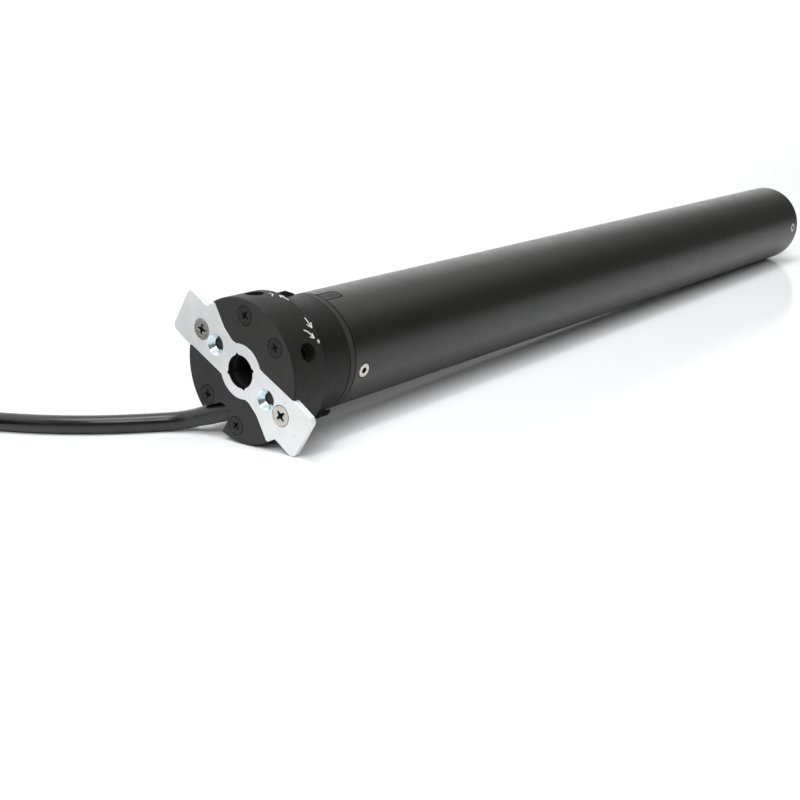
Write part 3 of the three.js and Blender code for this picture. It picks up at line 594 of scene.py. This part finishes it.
def settle(name, shape, bevel=0.0, sharp=32):
    """Rounds a shape's edges, turns it into metres and smooths its shading."""
    if bevel:
        rounding = shape.modifiers.new("rounding", "BEVEL")
        rounding.width = bevel
        rounding.segments = 2
        rounding.limit_method = "ANGLE"
        rounding.angle_limit = math.radians(sharp)
        rounding.use_clamp_overlap = False
    settle_modifiers(shape)
    shape.data.transform(Matrix.Scale(MM, 4))
    shape.data.shade_smooth()
    shape.data.set_sharp_from_angle(angle=math.radians(sharp))
    shape.modifiers.new("evened", "WEIGHTED_NORMAL").keep_sharp = True
    settle_modifiers(shape)
    shape.name = name
    shape.data.name = name
    return shape


def dress(piece, finish):
    piece.data.materials.clear()
    piece.data.materials.append(finish)
    return piece


def stand_for(piece, *nodes):
    """The piece rides with these CAD nodes, takes their finish and is shown for them."""
    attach(piece, frame["nodes"][nodes[0]]["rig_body"])
    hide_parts(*nodes)
    return dress(piece, FINISHES[SLOTS[nodes[0]]])


def show(node, shape, bevel=0.0, sharp=32):
    return stand_for(settle(f"{node}_shown", shape, bevel, sharp), node)


# ---- The lead's pieces ----
stand_for(lead, "cable_run", "cable_coil", "cable_tail")
for core, tip in zip(cores, core_tips):
    for part, finish in ((core, LEAD_COLOURS[core.name.split("_")[1]]), (tip, FINISHES["copper"])):
        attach(part, "motor_body")
        dress(part, finish)


def coil_tie():
    """A strap round the coil, with its buckle on top."""
    place = FLOOR @ Matrix.Translation(COIL_CENTRE) @ Matrix.Rotation(math.radians(200), 4, "Z")
    place = place @ Matrix.Rotation(math.pi / 2, 4, "X")
    low, high, top, thick, half = 28.7, 50.8, 22.4, 0.8, 4.0
    outer = [(low - thick, 0), (high + thick, 0), (high + thick, top + thick)]
    outer.append((low - thick, top + thick))
    inner = [(low, thick), (high, thick), (high, top), (low, top)]
    strap = prism(filleted([(*p, 3.6) for p in outer]), -half, half, place)
    hole = prism(filleted([(*p, 2.8) for p in inner]), -half - 1, half + 1, place)
    cut(strap, hole)
    buckle = box((36.2, 43.2), (top + 0.3, top + 3.1), (-half - 0.9, half + 0.9), place)
    tail = box((31, 37), (top + 1.1, top + 2.0), (-half + 0.6, half - 0.6), place)
    return join(strap, buckle, tail)


tie = show("coil_tie", coil_tie(), bevel=0.15)


def lead_sleeve():
    """The bend relief that the lead leaves the head by."""
    length = (SLEEVE_OUT - SLEEVE_IN).length
    turn = Vector((0, 0, 1)).rotation_difference(OUTWARD).to_matrix().to_4x4()
    place = Matrix.Translation(SLEEVE_IN) @ turn
    dome = arc(0, 0, SLEEVE_R, -math.pi / 2, 0, 12)
    dome[0] = (0, dome[0][1])
    taper = [(SLEEVE_R, length * 0.7), (LEAD_R + 0.02, length - 0.4), (0, length - 0.4)]
    return lathe([*dome, *taper], place, FINE)


dress(show("cable_sleeve", lead_sleeve()), SLEEVE)


# ---- Bracket plate and screws ----
def plate_outline():
    half = [(36, -9.6, 2.5), (36, 9.6, 2.5), (25.6, 9.6, 0.8), (23.2, 13.6, 1), (14.2, 8.6, 5)]
    half += [(9, 7.3, 3), *arc(0, 0, 10.4, math.radians(48), math.radians(132), 20)]
    half += [(-8.3, 7.7, 2.5), (-24.2, 8.9, 0.8), (-25.8, 9.6, 0.8)]
    return filleted([*half, *[(-c[0], -c[1], *c[2:]) for c in half]])


SOCKET_HALF = 5.0
SOCKET_ROUND = 6.2


def socket_outline(play=0.0):
    """A square hole with a slightly wider round one through it."""
    half, radius = SOCKET_HALF + play, SOCKET_ROUND + play
    reach = math.acos(half / radius)
    points = []
    for side in range(4):
        middle = side * math.pi / 2
        points += arc(0, 0, radius, middle - reach, middle + reach, 12)
        corner = aside(half * math.sqrt(2), middle + math.pi / 4)
        points.append((corner.x, corner.y))
    return points


PLATE_SCREW = (3.78, 2.0, 11.0)  # head radius, shank radius and length
COVER_SCREW = (3.38, 1.5, 10.5)
PLATE_SCREW_U = 23.25
SPARE_HOLE_U = 14.8
SPARE_HOLE_R = 2.15
SPARE_CONE = 2.95  # how much wider its countersink is, a little above the plate
COVER_SPOTS = [(u, v) for u in (-8.6, 8.6) for v in (-19.4, 19.4)]
RIM = 0.25
HEAD_PLAY = 0.26


def countersunk(head, shank, length, top=0.0):
    cone = head - shank + RIM
    return [(0, top), (head, top), (head, RIM), (shank, cone), (shank, length), (0, length)]


def screw_hole(head, shank, length, u, v):
    profile = countersunk(head + HEAD_PLAY, shank + GAP, length, -1)
    return lathe(profile, PLATE @ Matrix.Translation((u, v, 0)), FINE)


def cross_screw(head, shank, length, place):
    """A countersunk screw with a cross recess that narrows as it goes down."""
    body = lathe(countersunk(head, shank, length), place, FINE)

    def cross(reach, blade, waist, w):
        quarter = [(reach, -blade), (reach, blade), (waist, waist)]
        turns = [Matrix.Rotation(math.pi / 2 * i, 2) for i in range(4)]
        return [(*(t @ Vector(p)), w) for t in turns for p in quarter]

    top = cross(head * 0.62, head * 0.10, head * 0.18, -0.2)
    low = cross(head * 0.36, head * 0.07, head * 0.12, head * 0.42)
    return cut(body, loft([top, low], place))


RECESS_REACH = 2.1  # further out is the cone under a screw's head
RECESS_DEPTHS = (0.12, 1.75)


def paint_recess_shade(screw, place):
    """Paints shade on the walls of a screw's recess: they take a dark finish that stands for the
    shadow down in it.
    """
    screw.data.materials.append(PAINTED_RECESS_SHADE)
    to_screw = place.inverted() @ Matrix.Scale(1 / MM, 4)
    for face in screw.data.polygons:
        u, v, w = to_screw @ face.center
        if math.hypot(u, v) < RECESS_REACH and RECESS_DEPTHS[0] < w < RECESS_DEPTHS[1]:
            face.material_index = 1


def stamped_plate():
    blank = prism(plate_outline(), 0, PLATE_THICK, PLATE, edge=0.45)
    through = PLATE_THICK + PAST
    low = SPARE_HOLE_R + SPARE_CONE
    spare = [(0, -PAST), (low, -PAST), (SPARE_HOLE_R, 2), (SPARE_HOLE_R, through), (0, through)]
    tools = [prism(socket_outline(), -PAST, through, PLATE)]
    for side in (-1, 1):
        tools.append(screw_hole(*PLATE_SCREW, side * PLATE_SCREW_U, 0))
        at = PLATE @ Matrix.Translation((side * SPARE_HOLE_U, 0, 0))
        tools.append(lathe(spare, at, FINE))
    return cut(blank, *tools)


plate = show("bracket_plate", stamped_plate(), bevel=0.12, sharp=25)


NEAR_SPARE_HOLE = 4.0  # from a hole's middle, clear of every other wall
NEAR_SOCKET = 7.3


def polish_holes():
    """Gives the plate's spare holes their tempered tint and the socket's wall a black finish."""
    plate.data.materials.append(COUNTERSINK)
    plate.data.materials.append(SOCKET)
    to_plate = PLATE.inverted() @ Matrix.Scale(1 / MM, 4)
    for face in plate.data.polygons:
        u, v, w = to_plate @ face.center
        for side in (-1, 1):
            if math.hypot(u - side * SPARE_HOLE_U, v) < NEAR_SPARE_HOLE and w > 0.05:
                face.material_index = 1
        if math.hypot(u, v) < NEAR_SOCKET and 0.1 < w < PLATE_THICK:
            face.material_index = 2


polish_holes()

for i, side in enumerate((-1, 1)):
    turn = Matrix.Rotation(math.radians(20 + 50 * i), 4, "Z")
    place = PLATE @ Matrix.Translation((side * PLATE_SCREW_U, 0, 0)) @ turn
    paint_recess_shade(show(f"plate_screw_{i + 1}", cross_screw(*PLATE_SCREW, place), 0.1), place)
for i, (u, v) in enumerate(COVER_SPOTS):
    turn = Matrix.Rotation(math.radians(12 + 25 * i), 4, "Z")
    place = PLATE @ Matrix.Translation((u, v, 0)) @ turn
    paint_recess_shade(show(f"cover_screw_{i + 1}", cross_screw(*COVER_SCREW, place), 0.1), place)


# ---- Head ----
NOTCH_DEPTH = 9.4
SOCKET_DEPTH = 13
SOCKET_PLAY = 0.1


def notch_outline():
    """The slot that the lead leaves by: a round inner end, a straight and a flared side."""
    cu, cv, radius = -0.55, -20.4, 3.8
    flare = math.radians(-51.6)
    past_rim = 14
    points = arc(cu, cv, radius, flare + math.pi / 2, math.pi, 24)
    out = Vector(points[0]) + aside(past_rim + 4, flare).to_2d()
    return [*points, (cu - radius, cv - past_rim), tuple(out)]


def face_holes():
    """Everything that is cut into the head from its front."""
    spots = [(PLATE_SCREW, side * PLATE_SCREW_U, 0) for side in (-1, 1)]
    spots += [(COVER_SCREW, u, v) for u, v in COVER_SPOTS]
    holes = [screw_hole(*screw, u, v) for screw, u, v in spots]
    holes.append(prism(notch_outline(), -PAST, NOTCH_DEPTH, PLATE))
    holes.append(prism(socket_outline(SOCKET_PLAY), -PAST, SOCKET_DEPTH, PLATE))
    return holes


def rounded_rim(radius, low, high, start=0.0, end=0.0, steps=4):
    """A lathe profile's outer side from low to high, with each end rounded."""
    quarter = math.pi / 2
    first = arc(low + start, radius - start, start, 2 * quarter, quarter, steps) if start else []
    last = arc(high - end, radius - end, end, quarter, 0, steps) if end else []
    rim = [(r, w) for w, r in first] or [(radius, low)]
    return rim + ([(r, w) for w, r in last] or [(radius, high)])


def head_cover():
    body = lathe([(0, 0), *rounded_rim(FLANGE_R, 0, COVER_BACK, 0.5), (0, COVER_BACK)])
    pocket = prism(grown(plate_outline(), SOCKET_PLAY), -PAST, PLATE_THICK + GAP, PLATE)
    return cut(body, pocket, *face_holes())


def paint_rim_shade(cover):
    """Paints shade on the cover's round side: it takes the darker copy of the black plastic that
    the head behind it has, which stands for the shade on that side.
    """
    cover.data.materials.append(SHADED_HEAD_SIDE)
    for face in cover.data.polygons:
        if math.hypot(face.center.y, face.center.z) > (FLANGE_R - 0.4) * MM:
            face.material_index = 1


paint_rim_shade(show("head_cover", head_cover(), bevel=0.06))

# holes in the head: radius, and where they start and end along their axes
PINION_POCKET = (8.1, 25.2, COLUMN_END + PAST)
JOURNAL_HOLE = (2.3, 17, 25.5)
ADJUSTER_MOUTH = (3.5, 23.3, 30)
ADJUSTER_BORE = (2.4, 11.7, 24)
ADJUSTER_STEM = (2.2, 12, 22.6)


def adjuster_place(degrees):
    return turned(math.radians(degrees), (0, 0, ADJUSTER_X), OUTWARDS)


def head_body():
    rim = rounded_rim(FLANGE_R, BODY_FRONT, FLANGE_BACK, 0, 0.7)
    column = [(COLUMN_R, FLANGE_BACK), (COLUMN_R, COLUMN_END), (0, COLUMN_END)]
    body = lathe([(0, BODY_FRONT), *rim, *column])
    web = box((5.5, 11.5), (-8, 8), (COLUMN_END - 3, WEB_END), turned(WEB_ANGLE))
    join(body, web)
    tools = face_holes()
    for distance, angle in SPINDLE_SPOTS:
        place = AXIAL @ Matrix.Translation(aside(distance, angle))
        tools.append(rod(*PINION_POCKET, place))
        tools.append(rod(*JOURNAL_HOLE, place))
    for degrees in ADJUSTER_ANGLES:
        tools.append(rod(*ADJUSTER_MOUTH, adjuster_place(degrees)))
        tools.append(rod(*ADJUSTER_BORE, adjuster_place(degrees)))
    wires = AXIAL @ Matrix.Translation(aside(*WIRE_HOLE))
    tools.append(rod(WIRE_HOLE_R, 5, WEB_END + PAST, wires))
    wire_channel = box((-2.5, 2.5), (-18, -9), (5, 9), PLATE)
    tools.append(wire_channel)
    return cut(body, *tools)


# the head body takes the darker copy of the black plastic: painted shade on the flange's round
# side
dress(show("head_body", head_body(), bevel=0.04), SHADED_HEAD_SIDE)

HEXAGON = [2 * math.pi * i / 6 for i in range(6)]


def hexagon(radius):
    return [(radius * math.cos(t), radius * math.sin(t)) for t in HEXAGON]


for i, degrees in enumerate(ADJUSTER_ANGLES):
    place = adjuster_place(degrees)
    key_hole = prism(hexagon(1.5), 19.1, 24, place)
    show(f"adjuster_screw_{i + 1}", cut(rod(*ADJUSTER_STEM, place), key_hole), bevel=0.12)


# ---- Marks printed on the flange: plain arrows and signs for the two adjusters ----
def ribbon(spots, width=0.5):
    """A printed line on the flange through (x, degrees) spots: its points and faces."""
    radius = FLANGE_R
    flat = [Vector((x, math.radians(a) * radius)) for x, a in spots]
    verts, faces = [], []
    for i, p in enumerate(flat):
        along = (flat[min(i + 1, len(flat) - 1)] - flat[max(i - 1, 0)]).normalized()
        across = Vector((-along.y, along.x)) * width / 2
        top, sunk = radius + 0.02, radius - 0.08
        for side, r in ((-1, top), (1, top), (1, sunk), (-1, sunk)):
            q = p + across * side
            spot = aside(r, q.y / radius)
            verts.append((q.x, spot.x, spot.y))
    for i in range(len(flat) - 1):
        for k in range(4):
            a, b = i * 4 + k, i * 4 + (k + 1) % 4
            faces.append([a, b, b + 4, a + 4])
    last = (len(flat) - 1) * 4
    faces += [[0, 1, 2, 3], [last, last + 1, last + 2, last + 3]]
    return verts, faces


def between(start, end, steps=8):
    return [Vector(start).lerp(Vector(end), i / steps) for i in range(steps + 1)]


def arrow_head(x, degrees, heading, size=1.1):
    per_degree = math.radians(1) * FLANGE_R
    lines = []
    for side in (-1, 1):
        back = math.radians(heading + 180 + side * 32)
        end = (x + size * math.cos(back), degrees + size * math.sin(back) / per_degree)
        lines.append(between((x, degrees), end, 2))
    return lines


def flange_marks():
    """All the lines, each through (x, degrees) spots."""
    lines = [between((14.6, 134.6), (15.0, 143.4)), *arrow_head(15.05, 144.1, 80, 2.3)]
    wave = smooth_through([Vector(p) for p in ((10.8, 144), (12.3, 146.4), (14.0, 152.3))], 6)
    lines += [wave, *arrow_head(13.9, 152, 55, 1.9)]
    lines += [between((14.6, 155.2), (15.9, 155.2), 2), between((15.2, 153.6), (15.2, 156.8), 3)]
    lines += [between((12.7, 97.6), (13.3, 101), 3), between((13.3, 101), (11.4, 104.2), 4)]
    lines += [between((14.6, 106.4), (15.1, 114.4)), *arrow_head(14.5, 105.6, 265, 1.7)]
    verts, faces = [], []
    for line in lines:
        made, corners = ribbon(line)
        faces += [[c + len(verts) for c in face] for face in corners]
        verts += made
    return solid(verts, faces, Matrix.Identity(4))


marks = dress(settle("flange_marks", flange_marks()), PRINT)
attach(marks, "motor_body")


# ---- Drive ring, collar and tube ----
LUG_HALF = 2.8


def drive_ring():
    """The toothed ring, with a short sloped lug and one that reaches over the collar."""
    outer = rounded_rim(TUBE_R, RING_START, RING_END, 0.5, 0.3)
    body = lathe([(RING_BORE, RING_START), *outer, (RING_BORE, RING_END)])
    cut(body, prism(gear_hole(), TEETH_START, RING_END + PAST))
    upper = [(25.6, 20.7), (32.6, 20.7), (32.6, 22.9, 0.3), (28.6, 24.6, 1.4), (25.6, 24.6, 1)]
    lower = [(28.4, 20.7), (33.9, 20.7), (33.9, 22.85), (36.2, 22.85), (36.2, 23.8, 0.5)]
    lower += [(34.4, 24.6, 1.2), (28.4, 24.6, 0.5)]
    stand = Matrix(((0, 1, 0, 0), (0, 0, 1, 0), (1, 0, 0, 0), (0, 0, 0, 1)))
    for degrees, outline in ((75, upper), (253, lower)):
        place = turned(math.radians(degrees)) @ stand
        lug = prism(filleted(outline), -LUG_HALF, LUG_HALF, place)
        join(body, lug)
    return body


show("drive_ring", drive_ring(), bevel=0.12)


def key_prism(play):
    """The key's outline along the motor and across it, run outwards."""
    start, half, end = 35.3, 2.6 + play, 46.7 + play
    outline = filleted([(start, -half), (end, -half, 2), (end, half, 2), (start, half)])
    across = Matrix(((0, 0, 1, 0), (0, 1, 0, 0), (1, 0, 0, 0), (0, 0, 0, 1)))
    return prism(outline, 11, 24, turned(KEY_ANGLE) @ across)


def tube_screw_places(x, angles):
    return [turned(math.radians(a), (TUBE_SCREW_OUT, 0, x), INWARDS) for a in angles]


MAIN_SCREWS = tube_screw_places(42.5, (194, 14))
END_SCREWS = tube_screw_places(456.3, (181.7, 1.7))
SCREW_HEAD, SCREW_SHANK, SCREW_LENGTH = 2.75, 1.6, 7.4


def tube_holes(places):
    length = SCREW_LENGTH + 2 * GAP
    profile = countersunk(SCREW_HEAD + GAP, SCREW_SHANK + GAP, length, -2 * PAST)
    return [lathe(profile, place, FINE) for place in places]


def collar():
    rim = rounded_rim(TUBE_R, COLLAR_START, COLLAR_END, 0.25, 0.25)
    spigot = [(INSERT_R, COLLAR_END), (INSERT_R, SPIGOT_END), (SPIGOT_BORE, SPIGOT_END)]
    floor = [(SPIGOT_BORE, COLLAR_FLOOR), (0, COLLAR_FLOOR)]
    body = lathe([(0, COLLAR_START), *rim, *spigot, *floor])
    tongue = common(key_prism(0), sleeve(20, TUBE_R - 0.02, TUBE_START - 1, 49))
    join(body, tongue)
    tools = tube_holes(MAIN_SCREWS)
    through = (30, 40)
    holes = [(SPINDLE_HOLE_R, spot) for spot in SPINDLE_SPOTS] + [(WIRE_HOLE_R, WIRE_HOLE)]
    for radius, spot in holes:
        tools.append(rod(radius, *through, AXIAL @ Matrix.Translation(aside(*spot))))
    web_slot = box((5.2, 11.8), (-8.3, 8.3), through, turned(WEB_ANGLE))
    tools.append(web_slot)
    return cut(body, *tools)


show("tube_collar", collar(), bevel=0.1)


def tube():
    stations = (TUBE_START, 50.0, 54.0, 250.0, 446.0, 450.0, TUBE_END)
    inner = [(TUBE_BORE, w) for w in reversed(stations)]
    body = lathe([*[(TUBE_R, w) for w in stations], *inner])
    return cut(body, key_prism(GAP), *tube_holes(MAIN_SCREWS + END_SCREWS))


show("motor_tube", tube(), bevel=0.12, sharp=40)


def socket_screw(place):
    body = lathe(countersunk(SCREW_HEAD, SCREW_SHANK, SCREW_LENGTH), place, FINE)
    return cut(body, prism(hexagon(SCREW_HEAD * 0.46), -PAST, 1.6, place))


for name, places in (("tube_screw", MAIN_SCREWS), ("end_screw", END_SCREWS)):
    for i, place in enumerate(places):
        paint_recess_shade(show(f"{name}_{i + 1}", socket_screw(place), bevel=0.12), place)


# ---- The far end ----
SHAFT_FACETS = 96


def end_plug():
    """A cup that holds the bush, with a hole for the shaft in its floor."""
    hole, bush_seat, seat_floor = 6.6, 9.3, PLUG_START + 1.7
    rim = rounded_rim(INSERT_R, PLUG_START, PLUG_END, 0.5, 0.4)
    inner = [(bush_seat, PLUG_END), (bush_seat, seat_floor), (hole, seat_floor)]
    return cut(lathe([(hole, PLUG_START), *rim, *inner]), *tube_holes(END_SCREWS))


def output_shaft():
    """A shaft with a thinner inner end, a groove for a clip, two flats and a hole in its end."""
    thin, groove = 5.7, 5.4
    profile = [(0, 391), (thin, 391), (thin, 398), (OUTPUT_R, 398)]
    profile += [(OUTPUT_R, 479), (groove, 479), (groove, 480), (OUTPUT_R, 480)]
    profile += [(OUTPUT_R, OUTPUT_END - 0.8), (OUTPUT_R - 0.8, OUTPUT_END), (0, OUTPUT_END)]
    body = lathe(profile, AXIAL, SHAFT_FACETS)
    past_end = OUTPUT_END + PAST
    flats = [box(u, (-9, 9), (FLATS_START, past_end)) for u in ((5, 9), (-9, -5))]
    return cut(body, *flats, rod(2.1, 471, past_end))


show("end_plug", end_plug(), bevel=0.15)
show("output_bush", sleeve(OUTPUT_R + 0.1, 9, 446, 460.6, AXIAL, SHAFT_FACETS), bevel=0.2)
show("output_shaft", output_shaft(), bevel=0.12)

# ---- The CAD nodes that show inside the motor keep their shapes and get their finishes ----
for node, part in frame["nodes"].items():
    if not part.hide_render:
        dress(part, FINISHES[SLOTS[node]])


# ---- Floor, light and surroundings ----
FLOOR_R = 9  # metres


def studio_floor():
    """A white floor with a faint mirror image in it."""
    mesh = bpy.data.meshes.new("studio_floor")
    disc = bmesh.new()
    bmesh.ops.create_circle(disc, cap_ends=True, radius=FLOOR_R, segments=96)
    disc.to_mesh(mesh)
    disc.free()
    ground = bpy.data.objects.new("studio_floor", mesh)
    scene.collection.objects.link(ground)
    lowered = Matrix.Translation((0, 0, FLOOR_AT_HEAD * MM))
    ground.matrix_world = lowered @ Matrix.Rotation(-FLOOR_TILT, 4, "Y")
    white = material("studio_white", (0.905, 0.91, 0.92), (0.91, 0.915, 0.925), (0.10, 0.13),
                     patch=400, grain=40, relief=0.0, specular=0.025)
    dress(ground, white)


studio_floor()


def surroundings():
    """A white background, with one sky that lights the motor and one that it reflects.

    Light comes from above on the head's side of the motor. What shines reflects white screens
    behind the motor and above its far end.
    """
    world = bpy.data.worlds.new("studio")
    scene.world = world
    world.use_nodes = True
    nodes, links = world.node_tree.nodes, world.node_tree.links
    nodes.clear()
    where = nodes.new("ShaderNodeTexCoord")
    split = nodes.new("ShaderNodeSeparateXYZ")
    links.new(where.outputs["Generated"], split.inputs["Vector"])

    def ease(source, low, high):
        """From 0 to 1 as a direction's coordinate goes from low to high, up or down."""
        node = nodes.new("ShaderNodeMapRange")
        node.interpolation_type = "SMOOTHSTEP"
        node.inputs["From Min"].default_value = low
        node.inputs["From Max"].default_value = high
        links.new(split.outputs[source], node.inputs["Value"])
        return node.outputs["Result"]

    def combined(operation, first, second):
        node = nodes.new("ShaderNodeMath")
        node.operation = operation
        links.new(first, node.inputs[0])
        links.new(second, node.inputs[1])
        return node.outputs["Value"]

    def background(level, low, high):
        spread = nodes.new("ShaderNodeMapRange")
        spread.inputs["To Min"].default_value = low
        spread.inputs["To Max"].default_value = high
        links.new(level, spread.inputs["Value"])
        node = nodes.new("ShaderNodeBackground")
        node.inputs["Color"].default_value = (1, 1, 1, 1)
        links.new(spread.outputs["Result"], node.inputs["Strength"])
        return node.outputs["Background"]

    def pick(ray, otherwise, chosen):
        node = nodes.new("ShaderNodeMixShader")
        links.new(rays.outputs[ray], node.inputs["Fac"])
        links.new(otherwise, node.inputs[1])
        links.new(chosen, node.inputs[2])
        return node.outputs["Shader"]

    rays = nodes.new("ShaderNodeLightPath")
    far_screen = combined("MULTIPLY", ease("Z", 0.36, 0.84), ease("X", 0.40, 0.66))
    screens = combined("MAXIMUM", far_screen, ease("Y", -0.05, 0.45))
    plain = nodes.new("ShaderNodeBackground")
    plain.inputs["Color"].default_value = (1, 1, 1, 1)
    plain.inputs["Strength"].default_value = 1.05
    mirrored = background(screens, 0.14, 1.3)
    ahead = combined("MULTIPLY", ease("Y", 0.35, -0.25), ease("X", 0.9, -0.4))
    soft = background(combined("MULTIPLY", ahead, ease("Z", 0.18, 0.66)), 0.06, 1.75)
    lit = pick("Is Glossy Ray", soft, mirrored)
    out = nodes.new("ShaderNodeOutputWorld")
    links.new(pick("Is Camera Ray", lit, plain.outputs[0]), out.inputs["Surface"])


surroundings()


def soft_light(name, spot, aim, size, watts):
    """A rectangular light at a spot, in metres, turned towards its aim."""
    lamp = bpy.data.lights.new(name, "AREA")
    lamp.shape = "RECTANGLE"
    lamp.size, lamp.size_y = size
    lamp.energy = watts
    holder = bpy.data.objects.new(name, lamp)
    scene.collection.objects.link(holder)
    holder.location = spot
    holder.rotation_euler = (Vector(aim) - Vector(spot)).to_track_quat("-Z", "Y").to_euler()


soft_light("key", (-0.62, -0.22, 0.66), (0.08, 0.0, 0.0), (0.36, 0.24), 1.5)
soft_light("overhead", (0.0, 0.05, 1.0), (0.0, 0.05, 0.0), (0.16, 0.10), 2.0)


def wide_sun(name, energy, angle, tilt):
    """An even light from above, as wide as angle, that leaves the same shadow everywhere."""
    lamp = bpy.data.lights.new(name, "SUN")
    lamp.energy = energy
    lamp.angle = math.radians(angle)
    holder = bpy.data.objects.new(name, lamp)
    scene.collection.objects.link(holder)
    holder.rotation_euler = [math.radians(a) for a in tilt]


wide_sun("sky", 1.05, 34, (-3, -14, 0))

scene.view_settings.view_transform = "Standard"
scene.view_settings.look = "None"
